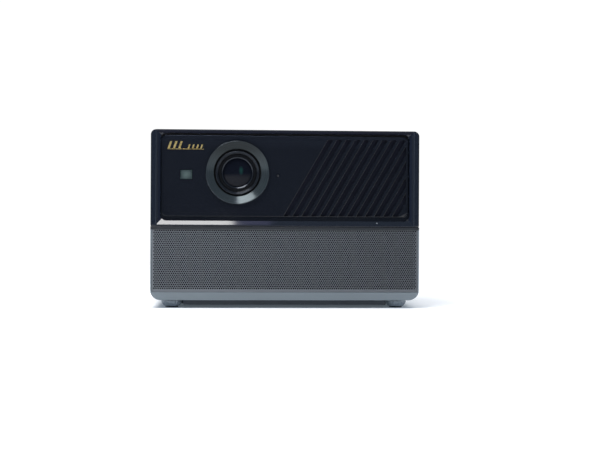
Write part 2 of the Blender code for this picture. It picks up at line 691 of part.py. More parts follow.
def fan(name, x, z, size, front, depth):
    """Square frame with a hub held by struts at the back, and a bladed rotor in front of them."""
    bore = size / 2 - 0.0015
    hub = size * 0.23
    corner = size / 2 - 0.004
    half = size / 2
    outline = rounded(-half, -half, half, half, (0.003,) * 4, 2)
    holes = [circle(0, 0, bore, 40)]
    for across in (-corner, corner):
        holes += [circle(across, up, 0.0017, 8) for up in (-corner, corner)]
    mesh = plate_mesh(name + "_frame", [outline] + holes, depth)
    place = (x, front + depth / 2, z)
    frame = add_part(name + "_frame", mesh, MATTE_BLACK, place, FORWARD)
    struts = []
    for arm in range(4):
        middle = math.pi / 4 + arm * math.pi / 2
        spread = 0.0017
        for radius, side in ((hub, -1), (bore + 0.0004, -1), (bore + 0.0004, 1), (hub, 1)):
            angle = middle + side * spread / radius
            struts.append((radius * math.cos(angle), radius * math.sin(angle)))
    star = plate_mesh(name + "_struts", [struts], 0.0016)
    back = front + depth - 0.0008
    combine(frame, add_cutter(star, (x, back, z), FORWARD), "UNION")
    rotor_depth = depth - 0.0032
    middle = front + 0.0006 + rotor_depth / 2
    top = rotor_depth / 2
    cup = ((0, top), (hub - 0.0008, top), (hub, top - 0.0008), (hub, -top), (0, -top))
    rotor = turned(name + "_rotor", cup, MATTE_BLACK, (x, middle, z), steps=24)
    blades, reach = 7, bore - 0.0010
    for number in range(blades):
        blade = box_mesh(f"{name}_blade_{number}", (reach - hub + 0.001, 0.0010, rotor_depth * 1.15))
        made = bmesh.new()
        made.from_mesh(blade)
        pitch_turn = math.radians(38)
        for vert in made.verts:
            along, thick, deep = vert.co
            vert.co.x = along + (reach + hub - 0.001) / 2
            vert.co.y = thick * math.cos(pitch_turn) - deep * math.sin(pitch_turn)
            vert.co.z = thick * math.sin(pitch_turn) + deep * math.cos(pitch_turn)
        made.to_mesh(blade)
        made.free()
        spinner = add_cutter(blade, (x, middle, z), (math.pi / 2, 0, 0))
        spinner.rotation_euler.rotate_axis("Z", 2 * math.pi * number / blades)
        combine(rotor, spinner, "UNION")


# ---- speakers


def speakers():
    grille = rounded(*GRILLE, (0.001,) * 4, 2)
    front_plate("speaker_grille", [grille], FRONT + 0.0003, FRONT + 0.0013, GRILLE_GREY)
    baffle = rounded(-0.1315, 0.0120, 0.1315, 0.0810, (0.008, 0.008, 0.001, 0.001), 3)
    holes = [circle(side * SPEAKER_X, SPEAKER_Z, 0.0250, 40) for side in (-1, 1)]
    front_plate("speaker_baffle", [baffle] + holes, FRONT + 0.0060, FRONT + 0.0085, MATTE_BLACK)
    face = -(FRONT + 0.0088)
    basket = ((0, face - 0.0180), (0.0075, face - 0.0180), (0.0165, face - 0.0140),
              (0.0246, face - 0.0040), (0.0246, face), (SPEAKER_RADIUS, face),
              (SPEAKER_RADIUS, face - 0.0020), (0.0262, face - 0.0030), (0.0180, face - 0.0160),
              (0.0180, face - 0.0290), (0, face - 0.0290))
    cone = ((0, face - 0.0052), (0.0068, face - 0.0080), (0.0205, face - 0.0016),
            (0.0222, face - 0.0006), (0.0238, face - 0.0018), (0.0238, face - 0.0026),
            (0.0205, face - 0.0030), (0.0065, face - 0.0098), (0, face - 0.0098))
    for side, name in ((-1, "left"), (1, "right")):
        place = (side * SPEAKER_X, 0, SPEAKER_Z)
        turned(name + "_speaker_basket", basket, STEEL, place, steps=24)
        turned(name + "_speaker_cone", cone, PAPER, place, steps=24)


# ---- electronics


PORTS = {
    "hdmi_socket_1": (0.0300, 0.1000, 0.0462, 0.1066),
    "hdmi_socket_2": (0.0510, 0.1000, 0.0672, 0.1066),
    "usb_socket": (0.0722, 0.0998, 0.0868, 0.1068),
    "audio_jack": (0.0920, 0.0990, 0.0996, 0.1076),
    "power_inlet": (-0.0110, 0.0380, 0.0110, 0.0560),
}


def socket(name, finish, wall, front, pocket):
    """Block with a rectangular pocket that opens at the rear."""
    left, bottom, right, top = PORTS[name]
    piece = box(name, (left, front, bottom), (right, REAR - 0.0005, top), finish)
    low = (left + wall, REAR - pocket, bottom + wall)
    return cut_box(piece, low, (right - wall, REAR + 0.001, top - wall))


def electronics():
    board = box("main_board", (0.0200, 0.0800, 0.0950), (0.1250, 0.1030, 0.0966), BOARD_GREEN)
    join_box(board, (0.0260, 0.0200, 0.0950), (0.1250, 0.0805, 0.0966))
    join_box(board, (0.0560, 0.0440, 0.0960), (0.0760, 0.0640, 0.1010))
    join_box(board, (0.0900, 0.0480, 0.0960), (0.1000, 0.0620, 0.0982))
    for name in ("hdmi_socket_1", "hdmi_socket_2"):
        socket(name, STEEL, 0.0008, 0.0930, 0.0110)
    usb = socket("usb_socket", STEEL, 0.0008, 0.0900, 0.0130)
    join_box(usb, (0.0735, REAR - 0.0135, 0.1024), (0.0855, REAR - 0.0050, 0.1042))
    jack = socket("audio_jack", MATTE_BLACK, 0.0018, 0.0940, 0.0015)
    cut_disc(jack, 0.0018, 0.0200, (0.0958, REAR, 0.1033), steps=16)
    inlet = box("power_inlet", (-0.0110, 0.0880, 0.0380), (0.0110, REAR - 0.0005, 0.0560), MATTE_BLACK)
    mouth = rounded(-0.0085, 0.0425, 0.0085, 0.0515, (0.0044,) * 4, 4)
    cut_outline(inlet, mouth, REAR - 0.0130, REAR + 0.001)
    for side in (-1, 1):
        join_disc(inlet, 0.0012, 0.0080, (side * 0.0043, REAR - 0.0095, 0.0470), steps=10)
    supply = box("power_supply_board", (-0.0700, -0.0300, 0.0200), (0.0750, 0.0840, 0.0216), BOARD_GREEN)
    join_box(supply, (-0.0500, 0.0000, 0.0210), (-0.0200, 0.0260, 0.0450))
    join_box(supply, (0.0280, -0.0180, 0.0210), (0.0320, 0.0500, 0.0480))
    join_disc(supply, 0.0090, 0.0300, (0.0550, 0.0100, 0.0350), UPWARD, 16)
    join_disc(supply, 0.0060, 0.0220, (-0.0050, -0.0100, 0.0310), UPWARD, 16)
    fan("exhaust_fan", EXHAUST_X, EXHAUST_Z, EXHAUST_SIZE, -0.0940, 0.020)


def power_button():
    """Cap flush with the top, its flange under the shell and its stem over a tact switch."""
    top = 0.0004
    profile = ((0, -top), (0.0086, -top), (0.0090, -0.0008), (0.0090, -0.0030), (0.0105, -0.0030),
               (0.0105, -0.0042), (0.0020, -0.0042), (0.0020, -0.0072), (0, -0.0072))
    turned("power_button", profile, MATTE_BLACK, (0, BUTTON_Y, HEIGHT), UPWARD, 24)
    low, high = (-0.0150, BUTTON_Y - 0.0120, 0.1640), (0.0150, BUTTON_Y + 0.0120, 0.1656)
    board = box("button_board", low, high, BOARD_GREEN)
    join_box(board, (-0.0031, BUTTON_Y - 0.0031, 0.1650), (0.0031, BUTTON_Y + 0.0031, 0.1690))
    join_disc(board, 0.0016, 0.0030, (0, BUTTON_Y, 0.16915), UPWARD, 12)


# ---- feet and stand fitting


def flute_outline():
    """Knob rim with shallow rounded flutes."""
    points = []
    samples = KNOB_FLUTES * 3
    for step in range(samples):
        angle = 2 * math.pi * step / samples
        radius = KNOB_RADIUS - 0.0003 + 0.0003 * math.cos(KNOB_FLUTES * angle)
        points.append((radius * math.cos(angle), radius * math.sin(angle)))
    return points


def feet():
    knob_low, knob_high = 0.0012, 0.0072
    stud = ((0, 0.0215), (0.0026, 0.0215), (0.0030, 0.0211), (0.0030, 0.0060), (0, 0.0060))
    pad = ((0, 0.0030), (0.0058, 0.0030), (0.0058, 0.0009), (0.0066, 0.0009), (0.0066, 0), (0, 0))
    cone = ((0.0200, 0.0160), (0.0062, -0.0005), (0, -0.0005), (0, 0.0160))
    for side, name in ((-1, "left"), (1, "right")):
        place = (side * FRONT_FOOT_X, FRONT_FOOT_Y, 0)
        mesh = plate_mesh(name + "_foot_knob", [flute_outline()], knob_high - knob_low)
        height = (knob_low + knob_high) / 2
        knob = add_part(name + "_foot_knob", mesh, RUBBER, (place[0], place[1], height))
        bowl = spin(add_cutter(turned_mesh(name + "_bowl", cone), place), 24)
        combine(knob, bowl, "INTERSECT")
        post = spin(add_cutter(turned_mesh(name + "_stud", stud), place), 20)
        combine(knob, post, "UNION")
        cut_disc(knob, 0.0061, 0.0042, (place[0], place[1], knob_low), UPWARD, 24)
        turned(name + "_foot_pad", pad, RUBBER, place, UPWARD, 24)
        rear = ((0, 0.0037), (0.0083, 0.0037), (0.0083, 0.0007), (0.0076, 0), (0, 0))
        turned("rear_foot_" + name, rear, RUBBER, (side * REAR_FOOT_X, REAR_FOOT_Y, 0), UPWARD, 24)
    bush = ((0.0032, 0.0160), (0.0070, 0.0160), (0.0070, 0.0105 + GAP), (0.0060, 0.0105 + GAP),
            (0.0060, 0.0030), (0.0032, 0.0030))
    turned("tripod_insert", bush, BRASS, (0, 0, 0), UPWARD, 20, closed=True)


def main():
    clear_scene()
    front_bezel()
    front_panel()
    upper_housing()
    lower_housing()
    rear_cover()
    bottom_cover()
    bottom_screws()
    chassis_plate()
    front_badge()
    small_front_pieces()
    lens_trim_ring()
    lens_parts()
    focus_drive()
    light_engine()
    speakers()
    electronics()
    power_button()
    feet()


main()
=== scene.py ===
"""Looks of the home projector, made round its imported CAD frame.

Metres, +Z up, +X to the viewer's right, the front looking along -Y.
"""

import json
import math

import bmesh
import bpy
from mathutils import Matrix, Vector
from mathutils.geometry import delaunay_2d_cdt


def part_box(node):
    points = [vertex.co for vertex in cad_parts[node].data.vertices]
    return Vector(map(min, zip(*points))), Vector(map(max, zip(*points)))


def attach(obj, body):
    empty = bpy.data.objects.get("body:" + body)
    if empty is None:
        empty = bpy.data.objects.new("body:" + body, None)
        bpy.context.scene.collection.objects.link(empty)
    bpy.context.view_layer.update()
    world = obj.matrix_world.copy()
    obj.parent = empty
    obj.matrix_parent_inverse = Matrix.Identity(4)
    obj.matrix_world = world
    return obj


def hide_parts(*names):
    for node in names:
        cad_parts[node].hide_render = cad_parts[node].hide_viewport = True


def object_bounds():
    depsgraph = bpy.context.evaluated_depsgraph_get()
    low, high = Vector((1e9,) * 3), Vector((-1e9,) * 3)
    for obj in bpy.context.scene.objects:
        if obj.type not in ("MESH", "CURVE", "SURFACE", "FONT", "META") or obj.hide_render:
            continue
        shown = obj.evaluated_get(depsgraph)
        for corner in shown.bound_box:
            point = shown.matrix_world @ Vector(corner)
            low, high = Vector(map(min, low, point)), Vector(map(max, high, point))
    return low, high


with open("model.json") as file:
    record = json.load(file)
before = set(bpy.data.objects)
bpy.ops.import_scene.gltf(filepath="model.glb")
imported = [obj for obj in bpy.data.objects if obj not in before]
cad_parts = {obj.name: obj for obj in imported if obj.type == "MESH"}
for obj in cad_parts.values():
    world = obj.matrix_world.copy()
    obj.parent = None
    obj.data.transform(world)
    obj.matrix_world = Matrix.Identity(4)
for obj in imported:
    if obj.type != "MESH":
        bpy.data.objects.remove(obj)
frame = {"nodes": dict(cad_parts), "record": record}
cad_low, cad_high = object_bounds()
FRONT = cad_low.y
TOP = cad_high.z
NODES = frame["nodes"]
RECORD = frame["record"]
BODY = "projector_body"


def centre_of(node):
    low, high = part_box(node)
    return (low + high) / 2


LENS = centre_of("lens_trim_ring")
LIP_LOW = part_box("speaker_grille")[1].z - 0.0004
PANEL_FACE = FRONT + 0.0065
PANEL_BACK = FRONT + 0.0095
BEZEL_WALL = FRONT + 0.0062
SLOPE_END = FRONT + 0.0035

# the bezel's mouth at the front, the growth of its slopes for each unit of depth, and its throat
MOUTH_SIDE, MOUTH_LOW, MOUTH_HIGH = 0.1295, 0.0836, 0.1780
SIDE_SLOPE, LOW_SLOPE, HIGH_SLOPE = 1.4, 1.5, 1.17
THROAT = (0.1253, 0.0878, 0.1753)

# the panel: half width, bottom, top and corner radii, then the slanted vents
PANEL_EDGE = (0.1310, 0.0862, 0.1752, (0.002, 0.002))
PANEL_FIELD = (0.1246, 0.0920, 0.1734, 0.0052)
FIELD_STEP = 0.00145
FIELD_EDGE = 0.0004
VENT_START = 0.0009
VENT_PITCH = 0.0092
VENT_WIDTH = 0.005
VENT_COUNT = 13
VENT_LOW = 0.0928
VENT_HIGH = 0.1700
VENT_RIGHT = 0.122
VENT_LEAN = math.tan(math.radians(30))
VENT_EDGE = 0.0005
VENT_END = 0.0002

# ---------------------------------------------------------------- materials


def add_node(tree, kind, wires, **settings):
    """Adds a node. Each input, by name or number, is linked to a socket or set to a value."""
    made = tree.nodes.new(kind)
    for setting, value in settings.items():
        setattr(made, setting, value)
    for socket, value in wires.items():
        if isinstance(value, bpy.types.NodeSocket):
            tree.links.new(value, made.inputs[socket])
        else:
            made.inputs[socket].default_value = value
    return made


def painted(value):
    """A colour for a socket: three numbers get an alpha, a linked colour stays."""
    return value if isinstance(value, bpy.types.NodeSocket) else (*value, 1.0)


def toned(colour, factor):
    return tuple(c * factor for c in colour)


class Finish:
    """One node material, with short calls for the nodes that it is built from."""

    def __init__(self, name, colour, rough, metallic=0.0, **sockets):
        self.name = name
        self.material = bpy.data.materials.new(name)
        self.material.use_nodes = True
        self.tree = self.material.node_tree
        self.shader = self.tree.nodes["Principled BSDF"]
        self.set("Base Color", (*colour, 1.0))
        self.set("Roughness", rough)
        self.set("Metallic", metallic)
        for socket, value in sockets.items():
            self.set(socket.replace("_", " "), value)
        self.relief = None

    def set(self, socket, value):
        self.shader.inputs[socket].default_value = value

    def drive(self, socket, output):
        self.tree.links.new(output, self.shader.inputs[socket])

    def node(self, kind, **inputs):
        return add_node(self.tree, kind, {name.replace("_", " "): value for name, value in inputs.items()})

    def place(self, scale=(1, 1, 1), offset=(0, 0, 0), turn=(0, 0, 0)):
        """Position in metres, scaled along each axis."""
        spot = self.node("ShaderNodeTexCoord").outputs["Object"]
        mapped = self.node("ShaderNodeMapping", Vector=spot, Scale=scale, Location=offset, Rotation=turn)
        return mapped.outputs["Vector"]

    def away(self, centre, scale):
        """Distance from a centre, each axis scaled, which leaves out an axis scaled by nothing."""
        spot = self.place(scale, tuple(-c * s for c, s in zip(centre, scale)))
        made = add_node(self.tree, "ShaderNodeVectorMath", {0: spot}, operation="LENGTH")
        return made.outputs["Value"]

    def noise(self, scale, detail=2.0, vector=None):
        vector = vector or self.place()
        made = self.node("ShaderNodeTexNoise", Vector=vector, Scale=scale, Detail=detail)
        return made.outputs["Fac"]

    def rings(self, centre, pitch, axis="y"):
        """Turned grooves: noise that changes only with the distance from an axis along Y or Z."""
        spread = self.away(centre, (1, 0, 1) if axis == "y" else (1, 1, 0))
        line = self.node("ShaderNodeCombineXYZ", X=self.math("MULTIPLY", spread, 1.0 / pitch))
        return self.noise(1.0, 3.0, line.outputs[0])

    def span(self, value, low, high, start=0.3, end=0.7):
        made = self.node("ShaderNodeMapRange", Value=value, From_Min=start, From_Max=end,
                         To_Min=low, To_Max=high)
        return made.outputs["Result"]

    def ramp(self, axis, start, end):
        """0 to 1 between two positions along X, Y or Z."""
        split = self.node("ShaderNodeSeparateXYZ", Vector=self.place())
        return self.span(split.outputs[axis], 0.0, 1.0, start, end)

    def blend(self, factor, first, second):
        wires = {0: factor, 6: painted(first), 7: painted(second)}
        return add_node(self.tree, "ShaderNodeMix", wires, data_type="RGBA").outputs[2]

    def math(self, operation, first, second=0.0):
        return add_node(self.tree, "ShaderNodeMath", {0: first, 1: second}, operation=operation).outputs[0]

    def tint(self, factor, colour):
        """Blends a colour over the base colour."""
        linked = self.shader.inputs["Base Color"].links
        base = linked[0].from_socket if linked else self.shader.inputs["Base Color"].default_value[:3]
        self.drive("Base Color", self.blend(factor, base, colour))

    def mottle(self, factor, deep, light):
        """Base colour that drifts between two tones."""
        self.drive("Base Color", self.blend(self.span(factor, 0.0, 1.0), deep, light))

    def roughen(self, factor, low, high):
        self.drive("Roughness", self.span(factor, low, high))

    def bump(self, height, depth):
        """Relief of a depth in metres, added to what is there."""
        made = self.node("ShaderNodeBump", Height=height, Distance=depth, Strength=1.0)
        if self.relief:
            self.tree.links.new(self.relief, made.inputs["Normal"])
        self.relief = made.outputs["Normal"]
        self.drive("Normal", self.relief)


def textured_plastic(name, colour, rough, grain, depth, spread=0.12, shine=0.5):
    """Moulded plastic: fine spark texture, a slow tone drift, and shinier handled patches."""
    made = Finish(name, colour, rough, Specular_IOR_Level=shine)
    made.mottle(made.noise(14, 3), toned(colour, 1 - spread), toned(colour, 1 + spread))
    made.roughen(made.noise(420, 3), rough - 0.04, rough + 0.05)
    made.bump(made.noise(grain, 3), depth)
    return made


def body_with_shaded_lip(name, colour, lip, rough):
    """Grey shell whose narrow lip over the grille, in the seam under the black bezel, is darkened with
    painted shade.
    """
    made = textured_plastic(name, colour, rough, 1700, 0.00006, 0.05)
    # painted shade: the front of the lip, just under the bezel, turns dark
    high = made.ramp("Z", LIP_LOW - 0.0003, LIP_LOW + 0.0003)
    ahead = made.ramp("Y", FRONT + 0.0045, FRONT + 0.0040)
    made.tint(made.math("MULTIPLY", high, ahead), lip)
    return made


def grille_paint_and_shade(name, colour, rough):
    """Painted sheet, with painted shade: a tone that falls off slowly to the right, and a darker top border
    under the lip.
    """
    made = textured_plastic(name, colour, rough, 2400, 0.00003, 0.04)
    # painted shade, darker towards the right, then darker along the top border
    made.tint(made.ramp("X", -0.06, 0.13), toned(colour, 0.74))
    made.tint(made.ramp("Z", LIP_LOW - 0.0014, LIP_LOW - 0.0006), toned(colour, 0.36))
    return made


def gloss_plastic(name, colour, rough=0.060, wave=0.000004, shine=0.5):
    """Polished plastic: faint waviness, wiping marks and a dust haze in the roughness."""
    made = Finish(name, colour, rough, IOR=1.46, Specular_IOR_Level=shine)
    marks = made.noise(1.0, 4, made.place((25, 25, 260), turn=(0, 0.5, 0)))
    haze = made.noise(22, 3)
    made.drive("Roughness", made.math("ADD", made.span(haze, rough * 0.6, rough * 1.3),
                                      made.span(marks, 0.0, rough * 0.5, 0.45, 0.75)))
    made.bump(made.noise(95, 2), wave)
    return made


def brushed_metal(name, colour, rough, along="x"):
    """Sheet or block metal with fine straight scratches."""
    made = Finish(name, colour, rough, 1.0, Anisotropic=0.3)
    lines = made.noise(1.0, 4, made.place({"x": (60, 2400, 2400), "z": (2400, 2400, 60)}[along]))
    made.roughen(lines, rough - 0.08, rough + 0.12)
    made.mottle(made.noise(40, 3), toned(colour, 0.86), colour)
    made.bump(lines, 0.000012)
    return made


def turned_metal(name, colour, rough, centre, axis="y", metallic=1.0):
    """Lathe-turned face with concentric grooves."""
    made = Finish(name, colour, rough, metallic, Anisotropic=0.75, Anisotropic_Rotation=0.25)
    grooves = made.rings(centre, 0.00022, axis)
    made.roughen(grooves, rough - 0.07, rough + 0.10)
    made.mottle(made.noise(70, 3), toned(colour, 0.88), colour)
    made.bump(grooves, 0.000012)
    tangent = add_node(made.tree, "ShaderNodeTangent", {}, direction_type="RADIAL", axis=axis.upper())
    made.drive("Tangent", tangent.outputs["Tangent"])
    return made


def ring_metal_shaded_top(name, colour, rough):
    """Turned lens ring, with painted shade that darkens the upper part of the dish."""
    made = turned_metal(name, colour, rough, LENS, metallic=0.5)
    made.set("Specular IOR Level", 0.30)
    # painted shade over the upper part of the dish
    made.tint(made.ramp("Z", LENS.z + 0.004, LENS.z + 0.024), toned(colour, 0.35))
    return made


def moulded_black(name):
    """Black moulded part of the lens with fine ring marks."""
    made = Finish(name, (0.0022, 0.0026, 0.0034), 0.26, Specular_IOR_Level=0.16)
    grooves = made.rings(LENS, 0.0005)
    made.roughen(grooves, 0.20, 0.32)
    made.bump(grooves, 0.00002)
    return made


def circuit_board(name):
    made = Finish(name, (0.012, 0.09, 0.045), 0.38)
    tracks = made.node("ShaderNodeTexBrick", Vector=made.place(), Scale=260.0,
                       Color1=(0.010, 0.080, 0.040, 1), Color2=(0.016, 0.115, 0.058, 1),
                       Mortar=(0.030, 0.170, 0.085, 1), Mortar_Size=0.06)
    made.drive("Base Color", tracks.outputs["Color"])
    made.roughen(made.noise(150, 3), 0.3, 0.5)
    made.bump(tracks.outputs["Fac"], 0.00003)
    return made


def cone_paper(name):
    """Pressed paper with a fibre grain."""
    made = Finish(name, (0.008, 0.008, 0.009), 0.85, Sheen_Weight=0.04, Specular_IOR_Level=0.2)
    fibres = made.noise(900, 5)
    made.drive("Base Color", made.blend(fibres, (0.004, 0.004, 0.005), (0.012, 0.012, 0.013)))
    made.bump(fibres, 0.00008)
    return made


def window_plastic(name, centre):
    """Tinted window that shows a paler sensor behind its middle."""
    made = Finish(name, (0.06, 0.10, 0.09), 0.10, IOR=1.5)
    core = made.span(made.away(centre, (1, 0, 1)), 1.0, 0.0, 0.0012, 0.0058)
    speckle = made.span(made.noise(500, 2), -0.1, 0.1)
    made.drive("Base Color", made.blend(made.math("ADD", core, speckle),
                                        (0.027, 0.040, 0.040), (0.068, 0.096, 0.090)))
    made.roughen(made.noise(120, 2), 0.06, 0.16)
    return made


def coated_glass(name):
    """Coated lens over a black depth, with a painted faint green reflection right of the middle."""
    made = Finish(name, (0.006, 0.008, 0.013), 0.05, Specular_IOR_Level=0.11)
    # a painted reflection: faint green oval right of the lens's middle
    middle, half_width, half_height = (LENS.x + 0.0037, 0, LENS.z + 0.0022), 0.0021, 0.0042
    painted_reflex = made.span(made.away(middle, (1 / half_width, 0, 1 / half_height)), 1.0, 0.0, 0.35, 1.2)
    made.drive("Base Color", made.blend(painted_reflex, (0.0042, 0.0054, 0.0096), (0.008, 0.030, 0.028)))
    made.roughen(made.noise(200, 3), 0.03, 0.07)
    return made


def clear_sheet(name, colour, pitch):
    """Display or fresnel sheet with fine rings."""
    made = Finish(name, colour, 0.12, IOR=1.49, Transmission_Weight=0.7)
    grooves = made.rings(LENS, pitch)
    made.roughen(grooves, 0.08, 0.2)
    made.bump(grooves, 0.00002)
    return made


def rubber(name, colour, rough):
    """Rubber with dust in its pores."""
    made = Finish(name, colour, rough)
    dust = made.span(made.noise(220, 4), 0.0, 1.0, 0.45, 0.8)
    made.drive("Base Color", made.blend(dust, colour, tuple(c * 2.2 + 0.004 for c in colour)))
    made.roughen(made.noise(90, 3), rough - 0.1, rough + 0.08)
    made.bump(made.noise(2600, 2), 0.00003)
    return made


def gold_trim(name):
    """Gold-coloured foil with fine level lines."""
    made = Finish(name, (0.86, 0.62, 0.20), 0.26, 1.0)
    fine = made.noise(1.0, 3, made.place((200, 200, 3500)))
    made.roughen(fine, 0.2, 0.4)
    made.mottle(made.noise(160, 2), (0.72, 0.50, 0.15), (0.95, 0.72, 0.28))
    made.bump(fine, 0.000006)
    return made


def light_plastic(name, colour, rough=0.3):
    """Plastic that lets a little light in."""
    made = Finish(name, colour, rough, Subsurface_Weight=0.1)
    made.roughen(made.noise(300, 3), rough - 0.08, rough + 0.1)
    made.mottle(made.noise(120, 2), toned(colour, 0.9), colour)
    made.bump(made.noise(1200, 2), 0.00001)
    return made


GLOSS_BLACK = (0.0046, 0.0056, 0.0082)
FINISHES = {made.name: made for made in (
    gloss_plastic("gloss_black", GLOSS_BLACK),
    textured_plastic("matte_black", (0.014, 0.017, 0.023), 0.46, 1900, 0.00006, shine=0.32),
    body_with_shaded_lip("grey_plastic", (0.168, 0.202, 0.222), (0.007, 0.010, 0.014), 0.44),
    grille_paint_and_shade("grille_metal", (0.125, 0.138, 0.152), 0.40),
    ring_metal_shaded_top("gunmetal", (0.040, 0.052, 0.057), 0.25),
    brushed_metal("aluminium", (0.66, 0.67, 0.69), 0.34, "z"),
    brushed_metal("steel", (0.50, 0.51, 0.53), 0.30),
    turned_metal("brass", (0.72, 0.52, 0.22), 0.28, centre_of("tripod_insert"), "z"),
    gold_trim("gold_trim"),
    coated_glass("lens_glass"),
    window_plastic("tinted_window", centre_of("sensor_window")),
    clear_sheet("clear_sheet", (0.80, 0.85, 0.88), 0.0004),
    clear_sheet("panel_glass", (0.30, 0.29, 0.27), 0.002),
    circuit_board("circuit_board"),
    light_plastic("light_plastic", (0.62, 0.62, 0.60)),
    light_plastic("gear_plastic", (0.70, 0.69, 0.64), 0.42),
    cone_paper("cone_paper"),
    rubber("rubber", (0.018, 0.018, 0.020), 0.72),
    textured_plastic("foot_plastic", (0.265, 0.305, 0.345), 0.40, 1500, 0.00005),
)}
SLOTS = {row["node"]: row["material_slot"] for row in RECORD["subparts"]}


def coat(obj, slot, finish=None):
    """Gives an object the finish of a slot, or a variant of it."""
    obj.data.materials.clear()
    obj.data.materials.append((finish or FINISHES[slot]).material)
    return obj


# near-black finish for dark parts, also laid as painted shade in slots, recesses and the housing's inside
BLACK_AND_SHADE = textured_plastic("black_and_painted_shade", (0.0028, 0.0032, 0.0042), 0.62, 1900, 0.00006, shine=0.2)
DARK_LENS = light_plastic("dark_lens", (0.05, 0.05, 0.055), 0.2)
DIM_LENS = light_plastic("dim_lens", (0.17, 0.18, 0.20), 0.2)
FAINT_WAVE = 0.0000015
BEZEL_GLOSS = gloss_plastic("bezel_gloss", (0.0078, 0.0108, 0.0172), wave=FAINT_WAVE)
# darker, duller copies of the bezel's gloss: painted shade on the roof slope and on the inner half of the
# side slopes
ROOF_SHADE = gloss_plastic("roof_painted_shade", (0.0050, 0.0064, 0.0150), wave=FAINT_WAVE, shine=0.09)
SIDE_SHADE = gloss_plastic("side_painted_shade", (0.0062, 0.0090, 0.0180), wave=FAINT_WAVE, shine=0.30)
# lighter copy of the bezel's gloss: a painted highlight along the edge of the mouth
RIM_HIGHLIGHT = gloss_plastic("rim_painted_highlight", (0.032, 0.038, 0.048), 0.10)
PANEL_GLOSS_LIT_TOP = gloss_plastic("panel_gloss_painted_top", GLOSS_BLACK)
# painted light: the panel turns lighter towards its top
PANEL_GLOSS_LIT_TOP.tint(PANEL_GLOSS_LIT_TOP.ramp("Z", 0.1600, 0.1720), (0.0105, 0.0125, 0.0180))
PAN_BLACK = textured_plastic("pan_black", (0.024, 0.031, 0.042), 0.46, 1900, 0.00006, shine=0.4)
# a painted highlight on the field's top rounding, fading out to the right
EDGE_HIGHLIGHT = gloss_plastic("edge_painted_highlight", (0.34, 0.37, 0.48), 0.12)
EDGE_HIGHLIGHT.tint(EDGE_HIGHLIGHT.ramp("X", -0.080, 0.110), (0.020, 0.023, 0.030))
SCREW_BLACK = brushed_metal("screw_black", (0.10, 0.10, 0.105), 0.36)
FILTER_CLOTH = textured_plastic("filter_cloth", (0.0082, 0.0094, 0.0180), 0.75, 900, 0.0002, shine=0.15)
PALE_PRINT = textured_plastic("pale_print", (0.36, 0.38, 0.40), 0.5, 1500, 0.00002)
LABEL_FOIL = textured_plastic("label_foil", (0.060, 0.064, 0.070), 0.34, 1200, 0.00001)
# parts inside the housing take the near-black finish: painted shade of the dark inside
INSIDE = ("exhaust_fan_frame", "exhaust_fan_rotor", "speaker_baffle", "left_speaker_basket",
          "right_speaker_basket", "engine_housing", "engine_frame")
VARIANTS = {**dict.fromkeys(INSIDE, BLACK_AND_SHADE), "status_led": DARK_LENS}

for node, obj in NODES.items():
    coat(obj, SLOTS[node], VARIANTS.get(node))

# ---------------------------------------------------------------- pieces


def link(name, mesh, body=BODY, slot=None, finish=None, node=None):
    """Adds a piece, gives it a finish and lets it ride on a body, in place of a CAD node if one is named."""
    obj = bpy.data.objects.new(name, mesh)
    bpy.context.scene.collection.objects.link(obj)
    coat(obj, slot or SLOTS[node], finish)
    if node:
        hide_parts(node)
    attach(obj, body)
    return obj


def mesh_of(name, made, recalculate=True):
    """Writes a bmesh to a new mesh, its faces turned outwards first."""
    if recalculate:
        bmesh.ops.recalc_face_normals(made, faces=made.faces)
    mesh = bpy.data.meshes.new(name)
    made.to_mesh(mesh)
    made.free()
    return mesh


def walls(made, rows, closed=False):
    """Quads between neighbouring hoops of vertices, from the last hoop to the first too if closed."""
    faces = []
    for this, following in zip(rows, rows[1:] + rows[:1] if closed else rows[1:]):
        for k in range(len(this)):
            after = (k + 1) % len(this)
            faces.append(made.faces.new((this[k], this[after], following[after], following[k])))
    return faces


def shade(obj, angle=32):
    """Smooth shading that keeps the edges sharper than an angle."""
    obj.data.shade_smooth()
    obj.data.set_sharp_from_angle(angle=math.radians(angle))
    weighted = obj.modifiers.new("weighted", "WEIGHTED_NORMAL")
    weighted.keep_sharp = True
    weighted.weight = 80
    return obj


def soften(made, width, chosen, angle):
    """Rounds the sharp edges that a test picks by their two ends."""
    edges = [edge for edge in made.edges
             if len(edge.link_faces) == 2 and edge.calc_face_angle(0) > math.radians(angle)
             and chosen(edge.verts[0].co, edge.verts[1].co)]
    bmesh.ops.bevel(made, geom=edges, offset=width, segments=2, profile=0.5, affect="EDGES",
                    clamp_overlap=False)


def refined(node, name, width, chosen, angle, finish=None):
    """A copy of a CAD node with its flat faces joined up and its edges rounded, which stands for it."""
    made = bmesh.new()
    made.from_mesh(NODES[node].data)
    bmesh.ops.remove_doubles(made, verts=made.verts, dist=0.000004)
    bmesh.ops.dissolve_limit(made, angle_limit=math.radians(0.4), verts=made.verts, edges=made.edges)
    soften(made, width, chosen, angle)
    shade(link(name, mesh_of(name, made, False), node=node, finish=finish))


def at_depth(y, slack=0.0002):
    return lambda a, b: abs(a.y - y) < slack and abs(b.y - y) < slack


